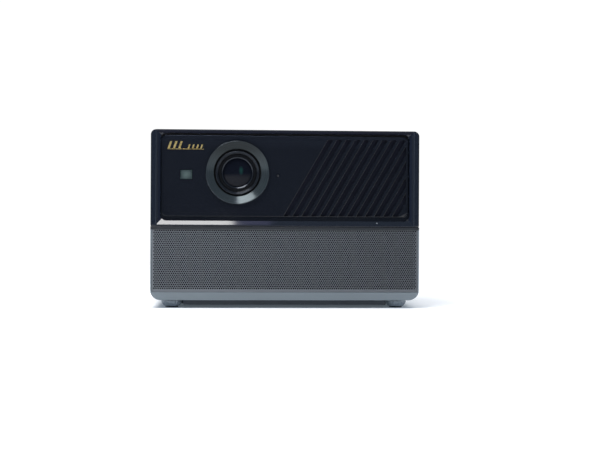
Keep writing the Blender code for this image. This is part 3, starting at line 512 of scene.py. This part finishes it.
def spun(name, profile, centre, body, slot, node=None, axis="y", steps=128, finish=None, wrap=False):
    """Piece turned round an axis through the centre. The profile holds (radius, distance along the axis)."""
    made = bmesh.new()
    rows = []
    for step in range(steps):
        turn = 2 * math.pi * step / steps
        row = []
        for radius, along in profile:
            across, up = radius * math.cos(turn), radius * math.sin(turn)
            spot = {"y": (across, -along, up), "z": (across, up, along), "back": (across, along, up)}[axis]
            row.append(made.verts.new(Vector(centre) + Vector(spot)))
        rows.append(row)
    count = len(profile)
    for step in range(steps):
        this, following = rows[step], rows[(step + 1) % steps]
        for index in range(count if wrap else count - 1):
            after = (index + 1) % count
            made.faces.new((this[index], this[after], following[after], following[index]))
    bmesh.ops.remove_doubles(made, verts=made.verts, dist=0.0000005)
    return shade(link(name, mesh_of(name, made), body, slot, finish, node), 40)


def filleted(points, radius, steps=3):
    """Polyline with each inner corner rounded."""
    points = [Vector(point) for point in points]
    out = [points[0]]
    for before, corner, after in zip(points, points[1:], points[2:]):
        into, away = (before - corner), (after - corner)
        reach = min(radius, into.length * 0.45, away.length * 0.45)
        start, end = corner + into.normalized() * reach, corner + away.normalized() * reach
        for step in range(steps + 1):
            share = step / steps
            first, second = start.lerp(corner, share), corner.lerp(end, share)
            out.append(first.lerp(second, share))
    return [tuple(point) for point in out + [points[-1]]]


def slope_depth(x, z):
    """Depth of the bezel's mitred slope under a point of the front."""
    return min((MOUTH_SIDE - abs(x)) / SIDE_SLOPE, (z - MOUTH_LOW) / LOW_SLOPE,
               (MOUTH_HIGH - z) / HIGH_SLOPE)


def corner_turns(x, z, radius, steps):
    """Angles round a corner, in its own quadrant, with the middle one on the mitre of the slopes."""
    low, high = 0.0, math.pi / 2
    for _ in range(30):
        middle = (low + high) / 2
        px = abs(x) - radius + radius * math.cos(middle)
        reach = radius - radius * math.sin(middle)
        by_end = ((z + reach - MOUTH_LOW) / LOW_SLOPE if z < (MOUTH_LOW + MOUTH_HIGH) / 2
                  else (MOUTH_HIGH - z + reach) / HIGH_SLOPE)
        if (MOUTH_SIDE - px) / SIDE_SLOPE < by_end:
            low = middle
        else:
            high = middle
    return [middle * step / steps if step <= steps
            else middle + (math.pi / 2 - middle) * (step - steps) / steps for step in range(2 * steps + 1)]


def loop_of(side, bottom, top, radii, steps=6, mitre=False):
    """Rounded rectangle, symmetrical about the middle plane, anticlockwise from the lower left."""
    even = [math.pi / 2 * step / (2 * steps) for step in range(2 * steps + 1)]
    points = []
    for x, z, radius, way in ((-side, bottom, radii[0], 1), (side, bottom, radii[0], -1),
                              (side, top, radii[1], 1), (-side, top, radii[1], -1)):
        turns = corner_turns(x, z, radius, steps) if mitre else even
        for turn in turns if way > 0 else turns[::-1]:
            px = abs(x) - radius + radius * math.cos(turn)
            away = radius - radius * math.sin(turn)
            points.append((math.copysign(px, x), z + away if z == bottom else z - away))
    return points


def bezel():
    """Frame swept through matching loops: rounded rim, flat land, mitred slope, inner wall and pocket."""
    body = cad_high.x
    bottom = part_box("front_bezel")[0].z
    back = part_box("front_bezel")[1].y
    loops = []
    outline = loop_of(body, bottom, TOP, (0.0012, 0.0055))
    loops.append([(x, back, z) for x, z in outline])
    for step in range(6):
        turn = math.pi / 2 * step / 5
        out, deep = 1 - math.cos(turn), 1 - math.sin(turn)
        ring = loop_of(body - 0.0019 * out, bottom + 0.0005 * out, TOP - 0.0006 * out,
                       (0.0012, 0.0055 - 0.0006 * out))
        loops.append([(x, FRONT + 0.0014 * deep, z) for x, z in ring])
    edge = 0.0003
    mouth = loop_of(MOUTH_SIDE + edge, MOUTH_LOW - edge, MOUTH_HIGH + edge * 0.6, (0.0005, 0.0005))
    loops.append([(x, FRONT, z) for x, z in mouth])
    near_loop = loop_of(MOUTH_SIDE - edge * 0.3, MOUTH_LOW + edge * 0.3, MOUTH_HIGH - edge * 0.3,
                        (0.0003, 0.0003))
    side, low, high = THROAT
    far_loop = loop_of(side + 0.0002, low - 0.0002, high + 0.0002, (0.0060, 0.0060), mitre=True)
    for step in range(5):
        share = step / 4
        ring = [(a[0] + (b[0] - a[0]) * share, a[1] + (b[1] - a[1]) * share)
                for a, b in zip(near_loop, far_loop)]
        loops.append([(x, FRONT + max(slope_depth(x, z), 0.00005), z) for x, z in ring])
    inner = loop_of(side, low, high, (0.0059, 0.0059), mitre=True)
    loops.append([(x, FRONT + slope_depth(x, z) + 0.0003, z) for x, z in inner])
    loops.append([(x, BEZEL_WALL, z) for x, z in inner])
    pocket = loop_of(body - 0.0025, bottom + 0.0025, TOP - 0.0025, (0.003, 0.003))
    loops.append([(x, BEZEL_WALL, z) for x, z in pocket])
    loops.append([(x, back, z) for x, z in pocket])
    made = bmesh.new()
    walls(made, [[made.verts.new(point) for point in loop] for loop in loops], closed=True)
    bmesh.ops.remove_doubles(made, verts=made.verts, dist=0.000002)
    shell = link("bezel_shell", mesh_of("bezel_shell", made), node="front_bezel", finish=BEZEL_GLOSS)
    shade(shell, 28)
    for finish in (ROOF_SHADE, SIDE_SHADE, RIM_HIGHLIGHT):
        shell.data.materials.append(finish.material)
    for wall in shell.data.polygons:
        reach = abs(wall.center.x)
        if not FRONT < wall.center.y < SLOPE_END:
            continue
        # painted shade on the roof slope
        if wall.center.z > high and wall.normal.z < -0.3:
            wall.material_index = 1
        # painted highlight along the edge of the mouth
        elif abs(reach - MOUTH_SIDE - edge / 3) < edge / 2:
            wall.material_index = 3
        # painted shade on the inner half of the side slopes
        elif abs(wall.normal.x) > 0.3 and side - 0.0002 < reach < side + 0.0025:
            wall.material_index = 2


def field_loop(margin):
    """Outline of the panel's raised field, grown by a margin."""
    side, low, high, radius = PANEL_FIELD
    return loop_of(side + margin, low - margin, high + margin, (radius + margin, radius + margin))


def grown_outline(points, widths):
    """Anticlockwise outline with each side moved outwards by its own width."""
    lines = []
    for index, (x, z) in enumerate(points):
        after = points[(index + 1) % len(points)]
        along = Vector((after[0] - x, after[1] - z)).normalized()
        out = Vector((along.y, -along.x))
        lines.append((out, out.x * x + out.y * z + widths[index]))
    moved = []
    for (one, reach), (two, further) in zip(lines[-1:] + lines[:-1], lines):
        area = one.x * two.y - one.y * two.x
        moved.append(((reach * two.y - further * one.y) / area, (one.x * further - two.x * reach) / area))
    return moved


def vent(foot):
    """Slanted slot, cut short at the right-hand limit, with the widths of its rounded sides."""
    lines = [foot + VENT_WIDTH / 2, foot - VENT_WIDTH / 2]
    rise = VENT_HIGH - VENT_LOW
    right, left = lines
    points, widths = [(left, VENT_LOW), (right, VENT_LOW)], [VENT_END, VENT_EDGE]
    if right + rise * VENT_LEAN > VENT_RIGHT:
        points.append((VENT_RIGHT, VENT_LOW + (VENT_RIGHT - right) / VENT_LEAN))
        widths.append(VENT_END)
    else:
        points.append((right + rise * VENT_LEAN, VENT_HIGH))
        widths.append(VENT_END)
    if left + rise * VENT_LEAN > VENT_RIGHT:
        points.append((VENT_RIGHT, VENT_LOW + (VENT_RIGHT - left) / VENT_LEAN))
        widths.append(VENT_EDGE)
    elif right + rise * VENT_LEAN > VENT_RIGHT:
        points += [(VENT_RIGHT, VENT_HIGH), (left + rise * VENT_LEAN, VENT_HIGH)]
        widths += [VENT_END, VENT_EDGE]
    else:
        points.append((left + rise * VENT_LEAN, VENT_HIGH))
        widths.append(VENT_EDGE)
    return points, widths


def flat_face(made, loops):
    """Triangles between an outer loop of vertices and the loops of its holes, all facing along Y."""
    verts = [vert for loop in loops for vert in loop]
    outlines, start = [], 0
    for loop in loops:
        outlines.append(list(range(start, start + len(loop))))
        start += len(loop)
    spots = [Vector((vert.co.x, vert.co.z)) for vert in verts]
    _, _, triangles, origins, _, sources = delaunay_2d_cdt(spots, [], outlines, 1, 0.0000001)
    for triangle, source in zip(triangles, sources):
        if source == [0]:
            made.faces.new([verts[origins[corner][0]] for corner in triangle])


def disc(x, z, radius, steps):
    turns = [2 * math.pi * step / steps for step in range(steps)]
    return [(x + radius * math.cos(turn), z + radius * math.sin(turn)) for turn in turns]


def panel():
    """Recessed panel: raised field with rounded edge, and its openings with broken or rounded edges."""
    face, back = PANEL_FACE, PANEL_BACK
    made = bmesh.new()
    fronts, backs = [], []

    def tube(outlines, index=0):
        """Hoops of vertices from the face to the back, each given as an outline with its depth."""
        rows = [[made.verts.new((x, y, z)) for x, z in points] for points, y in outlines]
        for wall in walls(made, rows)[-len(rows[0]):]:
            wall.material_index = index
        fronts.append(rows[0])
        backs.append(rows[-1])

    def rounding(outline_at, radius, steps):
        turns = [math.pi / 2 * step / steps for step in range(steps + 1)]
        return [(outline_at(1 - math.sin(turn)), face + radius * (1 - math.cos(turn))) for turn in turns]

    rim = loop_of(*PANEL_EDGE)
    tube(rounding(lambda share: field_loop(-FIELD_EDGE * share), FIELD_EDGE, 4)
         + [(field_loop(0), face + FIELD_STEP), (rim, face + FIELD_STEP), (rim, back)])
    tube([(disc(LENS.x, LENS.z, 0.0290, 64), y) for y in (face, back)])
    dot = centre_of("status_led")
    tube([(disc(dot.x, dot.z, radius, 24), y)
          for radius, y in ((0.0015, face), (0.0013, face + 0.0002), (0.0013, back))])
    low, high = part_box("sensor_window")
    gap = 0.0003
    pane = [(low.x - gap, low.z - gap), (high.x + gap, low.z - gap), (high.x + gap, high.z + gap),
            (low.x - gap, high.z + gap)]
    tube([(grown_outline(pane, (0.0002,) * 4), face), (pane, face + 0.0002), (pane, back)])
    # the vents' deep walls take the near-black finish: painted shade
    for number in range(VENT_COUNT):
        points, widths = vent(VENT_START + number * VENT_PITCH)
        tube(rounding(lambda share: grown_outline(points, [width * share for width in widths]),
                      VENT_EDGE, 5) + [(points, back)], 1)
    flat_face(made, fronts)
    flat_face(made, backs)
    shell = shade(link("panel_shell", mesh_of("panel_shell", made), node="front_panel", finish=PANEL_GLOSS_LIT_TOP))
    shell.data.materials.append(BLACK_AND_SHADE.material)
    shell.data.materials.append(EDGE_HIGHLIGHT.material)
    # above the field, the recessed border takes painted shade and its rounding a painted highlight
    field_top = PANEL_FIELD[2]
    for wall in shell.data.polygons:
        if wall.center.z > field_top - FIELD_EDGE and wall.center.y > face + 0.00002:
            wall.material_index = 2 if wall.center.y < face + FIELD_EDGE else 1


def outer_shells():
    """The CAD housings and the pan, with broken edges."""
    refined("upper_housing", "upper_shell", 0.0003, lambda a, b: True, 50)
    refined("lower_housing", "lower_shell", 0.0004, at_depth(FRONT, 0.004), 40)
    refined("rear_cover", "rear_shell", 0.0005, at_depth(cad_high.y), 50)
    refined("bottom_cover", "pan_shell", 0.0004, lambda a, b: True, 50, PAN_BLACK)


def second_finish(obj, finish, chosen):
    """Gives a finish to the faces that a test picks by distance from the lens's axis and depth."""
    obj.data.materials.append(finish.material)
    for face in obj.data.polygons:
        away = math.hypot(face.center.x - LENS.x, face.center.z - LENS.z)
        face.material_index = int(chosen(away, face.center.y))


def lens():
    """The dished ring, the sliding barrel in it and its glass."""
    face = -PANEL_FACE
    rim = 0.0033
    place = (LENS.x, 0, LENS.z)
    ring = filleted([(0.0239, face - 0.0055), (0.0239, face - 0.0012), (0.0312, face + rim - 0.0001),
                     (0.0316, face + rim), (0.03225, face + rim - 0.0009), (0.03225, face + 0.0003),
                     (0.0286, face + 0.0003), (0.0286, face - 0.0055)], 0.00035)
    trim = spun("lens_ring", ring, place, BODY, "gunmetal", "lens_trim_ring", wrap=True, steps=160)
    second_finish(trim, turned_metal("ring_rim", (0.085, 0.100, 0.112), 0.22, LENS),
                  lambda away, y: away > 0.0314)
    felt = filleted([(0.0211, 0.0928), (0.0211, 0.0948), (0.0280, 0.0948), (0.0280, 0.0928)], 0.0003)
    spun("lens_felt", felt, place, BODY, "matte_black", wrap=True, steps=96, finish=BLACK_AND_SHADE)
    black = moulded_black("lens_black")
    lip = turned_metal("lens_lip_black", (0.022, 0.027, 0.035), 0.24, LENS, metallic=0.6)
    barrel = filleted([(0.0150, 0.0770), (0.0150, 0.0785), (0.0168, 0.0785), (0.0168, 0.0950),
                       (0.0198, 0.0978), (0.0215, 0.0995), (0.0222, 0.0988), (0.0222, 0.0973),
                       (0.0190, 0.0973), (0.0190, 0.0770)], 0.0003)
    tube = spun("barrel_shell", barrel, place, "lens_carriage", "matte_black", "lens_barrel", wrap=True,
                steps=144, finish=black)
    second_finish(tube, lip, lambda away, y: away > 0.0196 and y < -0.0972)
    retainer = filleted([(0.0147, 0.0930), (0.0147, 0.0950), (0.0158, 0.0957), (0.0162, 0.0971),
                         (0.0186, 0.0971), (0.0164, 0.0950), (0.0164, 0.0930)], 0.00012)
    holder = spun("retainer_ring", retainer, place, "lens_carriage", "matte_black", "lens_retaining_ring",
                  wrap=True, steps=144, finish=black)
    second_finish(holder, lip, lambda away, y: 0.0147 < away < 0.0159 and y < -0.0948)
    radius, steps = 0.0162, 24
    for name, node, edge, rise, back in (("front_glass", "front_lens_element", 0.0924, 0.0030, 0.0890),
                                         ("rear_glass", "rear_lens_element", 0.0808, 0.0024, 0.0790)):
        dome = [(radius * step / steps, edge + rise * (1 - (step / steps) ** 2))
                for step in range(steps + 1)]
        spun(name, dome + [(radius, back), (0.0, back)], place, "lens_carriage", "lens_glass", node,
             steps=96)


def grille():
    """Perforated sheet: staggered round holes, a plain border, and the holes' walls."""
    low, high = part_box("speaker_grille")
    pitch, row_pitch, hole, columns, rows = 0.00218, 0.00186, 0.00086, 121, 32
    front, back = low.y, high.y
    middle = (low + high) / 2
    made = bmesh.new()
    corner = row_pitch * 2 / 3
    hexagon = [(pitch / 2 * x, corner * z) for x, z in
               ((1, 0.5), (0, 1), (-1, 0.5), (-1, -0.5), (0, -1), (1, -0.5))]
    ring = [(hole * math.cos(math.radians(30 * k)), hole * math.sin(math.radians(30 * k)))
            for k in range(12)]
    grid = {}

    def vert(x, z, y):
        key = (round(x * 2e6), round(z * 2e6), y)
        if key not in grid:
            grid[key] = made.verts.new((x, y, z))
        return grid[key]

    edges_used = {}
    for row in range(rows):
        z0 = middle.z + (row - rows / 2 + 1) * row_pitch
        shift = pitch / 4 if row % 2 else -pitch / 4
        for column in range(columns):
            x0 = middle.x + (column - (columns - 1) / 2) * pitch + shift
            outer = [vert(x0 + x, z0 + z, front) for x, z in hexagon]
            inner = [made.verts.new((x0 + x, front, z0 + z)) for x, z in ring]
            deep = [made.verts.new((x0 + x * 0.96, back, z0 + z * 0.96)) for x, z in ring]
            for k in range(6):
                # hexagon corner k stands at 30 + 60 k degrees, ring point 2 k + 1 beside it
                a, b, c = inner[2 * k], inner[2 * k + 1], inner[(2 * k + 2) % 12]
                made.faces.new((outer[k], b, a))
                made.faces.new((outer[k], c, b))
                made.faces.new((outer[k], outer[(k + 1) % 6], c))
                pair = frozenset((outer[k], outer[(k + 1) % 6]))
                edges_used[pair] = edges_used.get(pair, 0) + 1
            walls(made, [inner, deep])
    border = [pair for pair, times in edges_used.items() if times == 1]
    edge = []
    radius, steps = 0.0010, 4
    for x, z, turn in ((low.x, low.z, 180), (high.x, low.z, 270), (high.x, high.z, 0), (low.x, high.z, 90)):
        cx = x + radius if x == low.x else x - radius
        cz = z + radius if z == low.z else z - radius
        for step in range(steps + 1):
            angle = math.radians(turn + 90 * step / steps)
            edge.append((cx + radius * math.cos(angle), cz + radius * math.sin(angle)))
    rounding = 0.0003

    def inset(amount):
        out = []
        for x, z in edge:
            out.append((x - math.copysign(amount, x - middle.x), z - math.copysign(amount, z - middle.z)))
        return out

    bands = [(inset(rounding), front), (inset(rounding * 0.3), front + rounding * 0.3),
             (edge, front + rounding), (edge, back)]
    hoops = [[made.verts.new((x, y, z)) for x, z in points] for points, y in bands]
    walls(made, hoops)
    rim = [made.edges.get((hoops[0][k], hoops[0][(k + 1) % len(edge)])) for k in range(len(edge))]
    inside = [made.edges.get(tuple(pair)) for pair in border]
    bmesh.ops.triangle_fill(made, use_beauty=True, edges=rim + inside, normal=(0, -1, 0))
    shade(link("grille_sheet", mesh_of("grille_sheet", made), node="speaker_grille"), 30)


def grille_gasket():
    """Thin black frame between the grille's border and the housing."""
    low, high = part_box("speaker_grille")
    loops = []
    for inset, y in ((0.0004, high.y + 0.00005), (0.0004, high.y + 0.00025), (0.0034, high.y + 0.00025),
                     (0.0034, high.y + 0.00005)):
        side, bottom, top = high.x - inset, low.z + inset * 0.75, high.z - inset * 0.75
        loops.append([(-side, y, bottom), (side, y, bottom), (side, y, top), (-side, y, top)])
    loop_ring("grille_gasket", loops)


def knob(side):
    """Fluted, bowl-shaped knob with its stud, which turns, and the pad under it."""
    node = side + "_foot_knob"
    low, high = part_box(node)
    place = centre_of(side + "_foot_pad")
    profile = filleted([(0.0061, 0.0033), (0.0061, 0.0013), (0.0076, 0.0013), (0.0089, 0.0026),
                        (0.0102, 0.0044), (0.0107, 0.0058), (0.0105, 0.0072), (0.0030, 0.0072),
                        (0.0030, 0.0212), (0.0026, 0.0216), (0.0, 0.0216)], 0.0004)
    obj = spun(side + "_knob", profile, (place.x, place.y, 0), side + "_foot_wheel", "foot_plastic", node,
               axis="z", steps=240)
    for vert in obj.data.vertices:
        dx, dy = vert.co.x - place.x, vert.co.y - place.y
        away = math.hypot(dx, dy)
        if away > 0.0074 and vert.co.z < 0.00715:
            wave = 0.5 - 0.5 * math.cos(20 * math.atan2(dy, dx))
            cut = 1 - 0.00045 * wave * min(1.0, (away - 0.0074) / 0.0012) / away
            vert.co.x, vert.co.y = place.x + dx * cut, place.y + dy * cut
    pad = filleted([(0.0, 0.0), (0.0066, 0.0), (0.0066, 0.0009), (0.0058, 0.0009), (0.0058, 0.0030),
                    (0.0, 0.0030)], 0.0003)
    spun(side + "_pad", pad, (place.x, place.y, 0), side + "_foot_slider", "rubber", side + "_foot_pad",
         axis="z", steps=64)
    rear = centre_of("rear_foot_" + side)
    foot = filleted([(0.0, 0.0), (0.0076, 0.0), (0.0083, 0.0007), (0.0083, 0.0037), (0.0, 0.0037)], 0.0004)
    spun("rear_pad_" + side, foot, (rear.x, rear.y, 0), BODY, "rubber", "rear_foot_" + side, axis="z",
         steps=64)


def button():
    place = centre_of("power_button")
    profile = filleted([(0.0, TOP - 0.0010), (0.0058, TOP - 0.0008), (0.0074, TOP - 0.0004),
                        (0.0086, TOP - 0.0004), (0.0090, TOP - 0.0008), (0.0090, TOP - 0.0030),
                        (0.0105, TOP - 0.0030), (0.0105, TOP - 0.0042), (0.0020, TOP - 0.0042),
                        (0.0020, TOP - 0.0072), (0.0, TOP - 0.0072)], 0.00025)
    finish = turned_metal("button_black", (0.045, 0.048, 0.055), 0.32, place, "z")
    spun("button_cap", profile, (place.x, place.y, 0), "power_button_cap", "matte_black", "power_button",
         axis="z", steps=96, finish=finish)


def small_lights():
    """Light pipe that stands a hair proud of the bezel's lower slope."""
    spot = centre_of("indicator_lens")
    top = -FRONT - 0.0010
    pipe = filleted([(0.0, top + 0.00035), (0.0006, top + 0.0002), (0.0009, top - 0.0002),
                     (0.0009, top - 0.0014), (0.0, top - 0.0014)], 0.0001)
    spun("indicator_dome", pipe, (spot.x, 0, spot.z), BODY, "light_plastic", "indicator_lens", steps=32,
         finish=DIM_LENS)


def slab(name, low, high, radius, finish, slot):
    """Thin upright plate between two corners, its outline rounded and its edges broken."""
    made = bmesh.new()
    bmesh.ops.create_cube(made, size=1.0)
    low, high = Vector(low), Vector(high)
    bmesh.ops.scale(made, vec=high - low, verts=made.verts)
    bmesh.ops.translate(made, vec=(low + high) / 2, verts=made.verts)
    corners = [line for line in made.edges
               if abs((line.verts[0].co - line.verts[1].co).normalized().y) > 0.9]
    bmesh.ops.bevel(made, geom=corners, offset=radius, segments=5, profile=0.5, affect="EDGES")
    soften(made, 0.00015, lambda a, b: abs(a.y - b.y) < 0.00001, 40)
    shade(link(name, mesh_of(name, made, False), slot=slot, finish=finish), 35)


def loop_ring(name, loops):
    """Closed dark band through matching loops of points, joined end to end."""
    made = bmesh.new()
    walls(made, [[made.verts.new(point) for point in loop] for loop in loops], closed=True)
    shade(link(name, mesh_of(name, made), slot="rubber", finish=BLACK_AND_SHADE), 30)


def seam_seal():
    """Thin dark seal in the seam between the black and the grey housings."""
    low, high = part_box("lower_housing")[1].z + 0.00002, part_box("front_bezel")[0].z - 0.00002
    loops = []
    for inset, level in ((0.0002, low), (0.0002, high), (0.0022, high), (0.0022, low)):
        x, y = cad_high.x - inset, cad_high.y - inset
        loops.append([(-x, -y, level), (x, -y, level), (x, y, level), (-x, y, level)])
    loop_ring("seam_seal", loops)


def badge():
    """Thin slanted gold strokes on a fine line, three tall and four short, which spell nothing."""
    low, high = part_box("front_badge")
    front, back = low.y, high.y
    lean, rule = 0.35, 0.0004
    strokes = [(low.x + 0.0010 + 0.0053 * number, 0.0021, high.z - low.z) for number in range(3)]
    strokes += [(low.x + 0.0210 + 0.0042 * number, 0.0015, 0.0048) for number in range(4)]
    made = bmesh.new()
    outlines = [[(low.x + 0.0006, low.z), (high.x - 0.0006, low.z), (high.x - 0.0004, low.z + rule),
                 (low.x + 0.0008, low.z + rule)]]
    for left, width, height in strokes:
        foot = low.z + rule + 0.0005
        shift = lean * (height - rule - 0.0005)
        outlines.append([(left, foot), (left + width, foot), (left + width + shift, low.z + height),
                         (left + shift, low.z + height)])
    for outline in outlines:
        near_row = [made.verts.new((x, front, z)) for x, z in outline]
        far_row = [made.verts.new((x, back, z)) for x, z in outline]
        made.faces.new(near_row)
        made.faces.new(far_row[::-1])
        for k in range(4):
            made.faces.new((near_row[k], far_row[k], far_row[(k + 1) % 4], near_row[(k + 1) % 4]))
    bmesh.ops.recalc_face_normals(made, faces=made.faces)
    soften(made, 0.00006, at_depth(front, 0.00001), 40)
    shade(link("badge_strokes", mesh_of("badge_strokes", made, False), node="front_badge"), 30)


def dust_screen():
    """Fine dark cloth behind the slanted vents."""
    slab("dust_screen", (-0.0040, PANEL_BACK + 0.0003, 0.0915), (0.1240, PANEL_BACK + 0.0006, 0.1715), 0.002,
         FILTER_CLOTH, "matte_black")


def rear_details():
    """Cover screws and a blank rating plate on the back."""
    back = cad_high.y
    head = filleted([(0.0, back + 0.0002), (0.0009, back + 0.0002), (0.0012, back + 0.0006),
                     (0.0027, back + 0.0006), (0.0030, back + 0.0003), (0.0030, back - 0.0001),
                     (0.0, back - 0.0001)], 0.0001)
    spots = [(x, z) for x in (-0.1235, 0.1235) for z in (0.0215, 0.0900, 0.1665)]
    for number, (x, z) in enumerate(spots, 1):
        spun(f"cover_screw_{number}", head, (x, 0, z), BODY, "steel", axis="back", steps=40,
             finish=SCREW_BLACK)
    slab("rating_plate", (0.0300, back - 0.0001, 0.1360), (0.0920, back + 0.0001, 0.1600), 0.002,
         LABEL_FOIL, "matte_black")


def power_mark():
    """Printed mark on the button: an open ring and a bar."""
    place = centre_of("power_button")
    level = TOP - 0.0010
    made = bmesh.new()

    def strip(points, width):
        rows = []
        for index, point in enumerate(points):
            ahead = points[min(index + 1, len(points) - 1)]
            behind = points[max(index - 1, 0)]
            along = (Vector(ahead) - Vector(behind)).normalized()
            across = Vector((-along.y, along.x)) * width / 2
            rows.append([made.verts.new((place.x + point[0] + sign * across.x,
                                         place.y + point[1] + sign * across.y, level + rise))
                         for sign, rise in ((-1, 0), (-1, 0.00018), (1, 0.00018), (1, 0))])
        walls(made, rows)
        made.faces.new(rows[0][::-1])
        made.faces.new(rows[-1])

    arc = [math.radians(135 + 270 * step / 40) for step in range(41)]
    strip([(0.0030 * math.cos(turn), 0.0030 * math.sin(turn)) for turn in arc], 0.0006)
    strip([(0.0, 0.0012 + 0.0026 * step / 2) for step in range(3)], 0.0006)
    mark = link("power_mark", mesh_of("power_mark", made), "power_button_cap", "light_plastic", PALE_PRINT)
    shade(mark, 30)


bezel()
panel()
outer_shells()
lens()
grille()
grille_gasket()
for side in ("left", "right"):
    knob(side)
button()
small_lights()
seam_seal()
badge()
dust_screen()
rear_details()
power_mark()

# ---------------------------------------------------------------- camera, floor and light

scene = bpy.context.scene
scene.view_settings.view_transform = "Standard"
scene.view_settings.look = "None"

camera = bpy.data.objects.new("camera", bpy.data.cameras.new("camera"))
scene.collection.objects.link(camera)
scene.camera = camera
camera.data.sensor_width = 36.0
camera.data.lens = 71.85
EYE = Vector((-0.0551, FRONT - 1.2, 0.0838))
heading, roll = math.radians(3.317), math.radians(0.271)
forward = Vector((math.sin(heading), math.cos(heading), 0.0))
level = Vector((math.cos(heading), -math.sin(heading), 0.0))
right = level * math.cos(roll) + Vector((0, 0, 1)) * math.sin(roll)
up = right.cross(forward)
camera.matrix_world = Matrix((
    (right.x, up.x, -forward.x, EYE.x),
    (right.y, up.y, -forward.y, EYE.y),
    (right.z, up.z, -forward.z, EYE.z),
    (0, 0, 0, 1)))


def emitter(name, strength):
    made = bpy.data.materials.new(name)
    made.use_nodes = True
    tree = made.node_tree
    tree.nodes.remove(tree.nodes["Principled BSDF"])
    glow = add_node(tree, "ShaderNodeEmission", {"Color": (1, 1, 1, 1), "Strength": strength})
    tree.links.new(glow.outputs[0], tree.nodes["Material Output"].inputs["Surface"])
    return made, tree, glow


def stage_object(name, build, material):
    made = bmesh.new()
    build(made)
    mesh = mesh_of(name, made, False)
    obj = bpy.data.objects.new(name, mesh)
    scene.collection.objects.link(obj)
    mesh.materials.append(material)
    return obj


def floor_disc(made):
    bmesh.ops.create_circle(made, cap_ends=True, segments=64, radius=6.9)


white, _, _ = emitter("backdrop_white", 1.05)
backdrop = stage_object("backdrop", lambda made: bmesh.ops.create_icosphere(
    made, subdivisions=4, radius=7.0), white)

# The floor glows an even white except near the projector's footprint, where its glow drops to a dim bluish
# tone: a painted shadow.
floor_painted_shadow, tree, glow = emitter("floor_painted_shadow", 1.0)
spot = add_node(tree, "ShaderNodeTexCoord", {})
split = add_node(tree, "ShaderNodeSeparateXYZ", {0: spot.outputs["Object"]})
shares = {}
for index, (axis, half) in enumerate((("X", cad_high.x), ("Y", cad_high.y))):
    flat = add_node(tree, "ShaderNodeMath", {0: split.outputs[axis]}, operation="ABSOLUTE")
    outside = add_node(tree, "ShaderNodeMapRange", {"From Min": half - 0.01, "From Max": half + 0.02,
                                                    "Value": flat.outputs[0]})
    shares[index] = outside.outputs["Result"]
larger = add_node(tree, "ShaderNodeMath", shares, operation="MAXIMUM")
painted_shadow_tone = add_node(tree, "ShaderNodeMix", {0: larger.outputs[0], 6: (0.072, 0.088, 0.102, 1),
                                       7: (0.30, 0.30, 0.30, 1)}, data_type="RGBA")
tree.links.new(painted_shadow_tone.outputs[2], glow.inputs["Color"])
diffuse = add_node(tree, "ShaderNodeBsdfDiffuse", {"Color": (0.86, 0.87, 0.88, 1)})
both = add_node(tree, "ShaderNodeAddShader", {0: glow.outputs[0], 1: diffuse.outputs[0]})
tree.links.new(both.outputs[0], tree.nodes["Material Output"].inputs["Surface"])
stage_object("floor", floor_disc, floor_painted_shadow)

haze, tree, glow = emitter("floor_haze", 1.05)
clear = add_node(tree, "ShaderNodeBsdfTransparent", {})
spot = add_node(tree, "ShaderNodeTexCoord", {})
away = add_node(tree, "ShaderNodeVectorMath", {0: spot.outputs["Object"]}, operation="LENGTH")
fade = add_node(tree, "ShaderNodeMapRange", {"From Min": 0.45, "From Max": 1.10,
                                             "Value": away.outputs["Value"]})
mixed = add_node(tree, "ShaderNodeMixShader", {0: fade.outputs["Result"], 1: clear.outputs[0],
                                               2: glow.outputs[0]})
tree.links.new(mixed.outputs[0], tree.nodes["Material Output"].inputs["Surface"])
far_floor = stage_object("far_floor", floor_disc, haze)
far_floor.location.z = 0.0006
for unlit in (backdrop, far_floor):
    for unseen in ("visible_diffuse", "visible_glossy", "visible_transmission", "visible_shadow"):
        setattr(unlit, unseen, False)


def softbox(name, place, aim, width, height, power, colour=(1, 1, 1)):
    data = bpy.data.lights.new(name, "AREA")
    data.shape = "RECTANGLE"
    data.size, data.size_y = width, height
    data.energy = power
    data.color = colour
    obj = bpy.data.objects.new(name, data)
    scene.collection.objects.link(obj)
    obj.location = place
    obj.rotation_mode = "QUATERNION"
    obj.rotation_quaternion = (Vector(aim) - Vector(place)).to_track_quat("-Z", "Y")
    obj.visible_camera = False


softbox("key", (-0.36, -0.56, 1.05), (-0.36, -0.40, 0.0), 0.62, 0.42, 13.2, (1.0, 0.985, 0.98))
# the key's bluish fringe, which shows in the lower slope of the bezel
softbox("key_fringe", (-0.015, -0.56, 1.05), (-0.015, -0.40, 0.0), 0.07, 0.42, 0.10,
        (0.53, 0.50, 1.0))
softbox("top", (0.10, 0.25, 1.30), (0.0, 0.0, 0.1), 1.1, 0.9, 5.0)
softbox("rear", (0.5, 1.3, 0.9), (0.0, 0.0, 0.1), 0.9, 0.7, 6.0)

world = bpy.data.worlds.new("studio")
scene.world = world
world.use_nodes = True
tree = world.node_tree
sky = tree.nodes["Background"]
spot = add_node(tree, "ShaderNodeTexCoord", {})
split = add_node(tree, "ShaderNodeSeparateXYZ", {0: spot.outputs["Generated"]})
remap = add_node(tree, "ShaderNodeMapRange", {"From Min": -1.0, "Value": split.outputs["Y"]})
ramp = add_node(tree, "ShaderNodeValToRGB", {"Fac": remap.outputs["Result"]})
ramp.color_ramp.elements[0].position = 0.03
ramp.color_ramp.elements[0].color = (0.13, 0.17, 0.26, 1)
ramp.color_ramp.elements[1].position = 0.62
ramp.color_ramp.elements[1].color = (0.74, 0.78, 0.84, 1)
shade_side = ramp.color_ramp.elements.new(0.40)
shade_side.color = (0.25, 0.30, 0.38, 1)
tree.links.new(ramp.outputs["Color"], sky.inputs["Color"])
sky.inputs["Strength"].default_value = 1.0
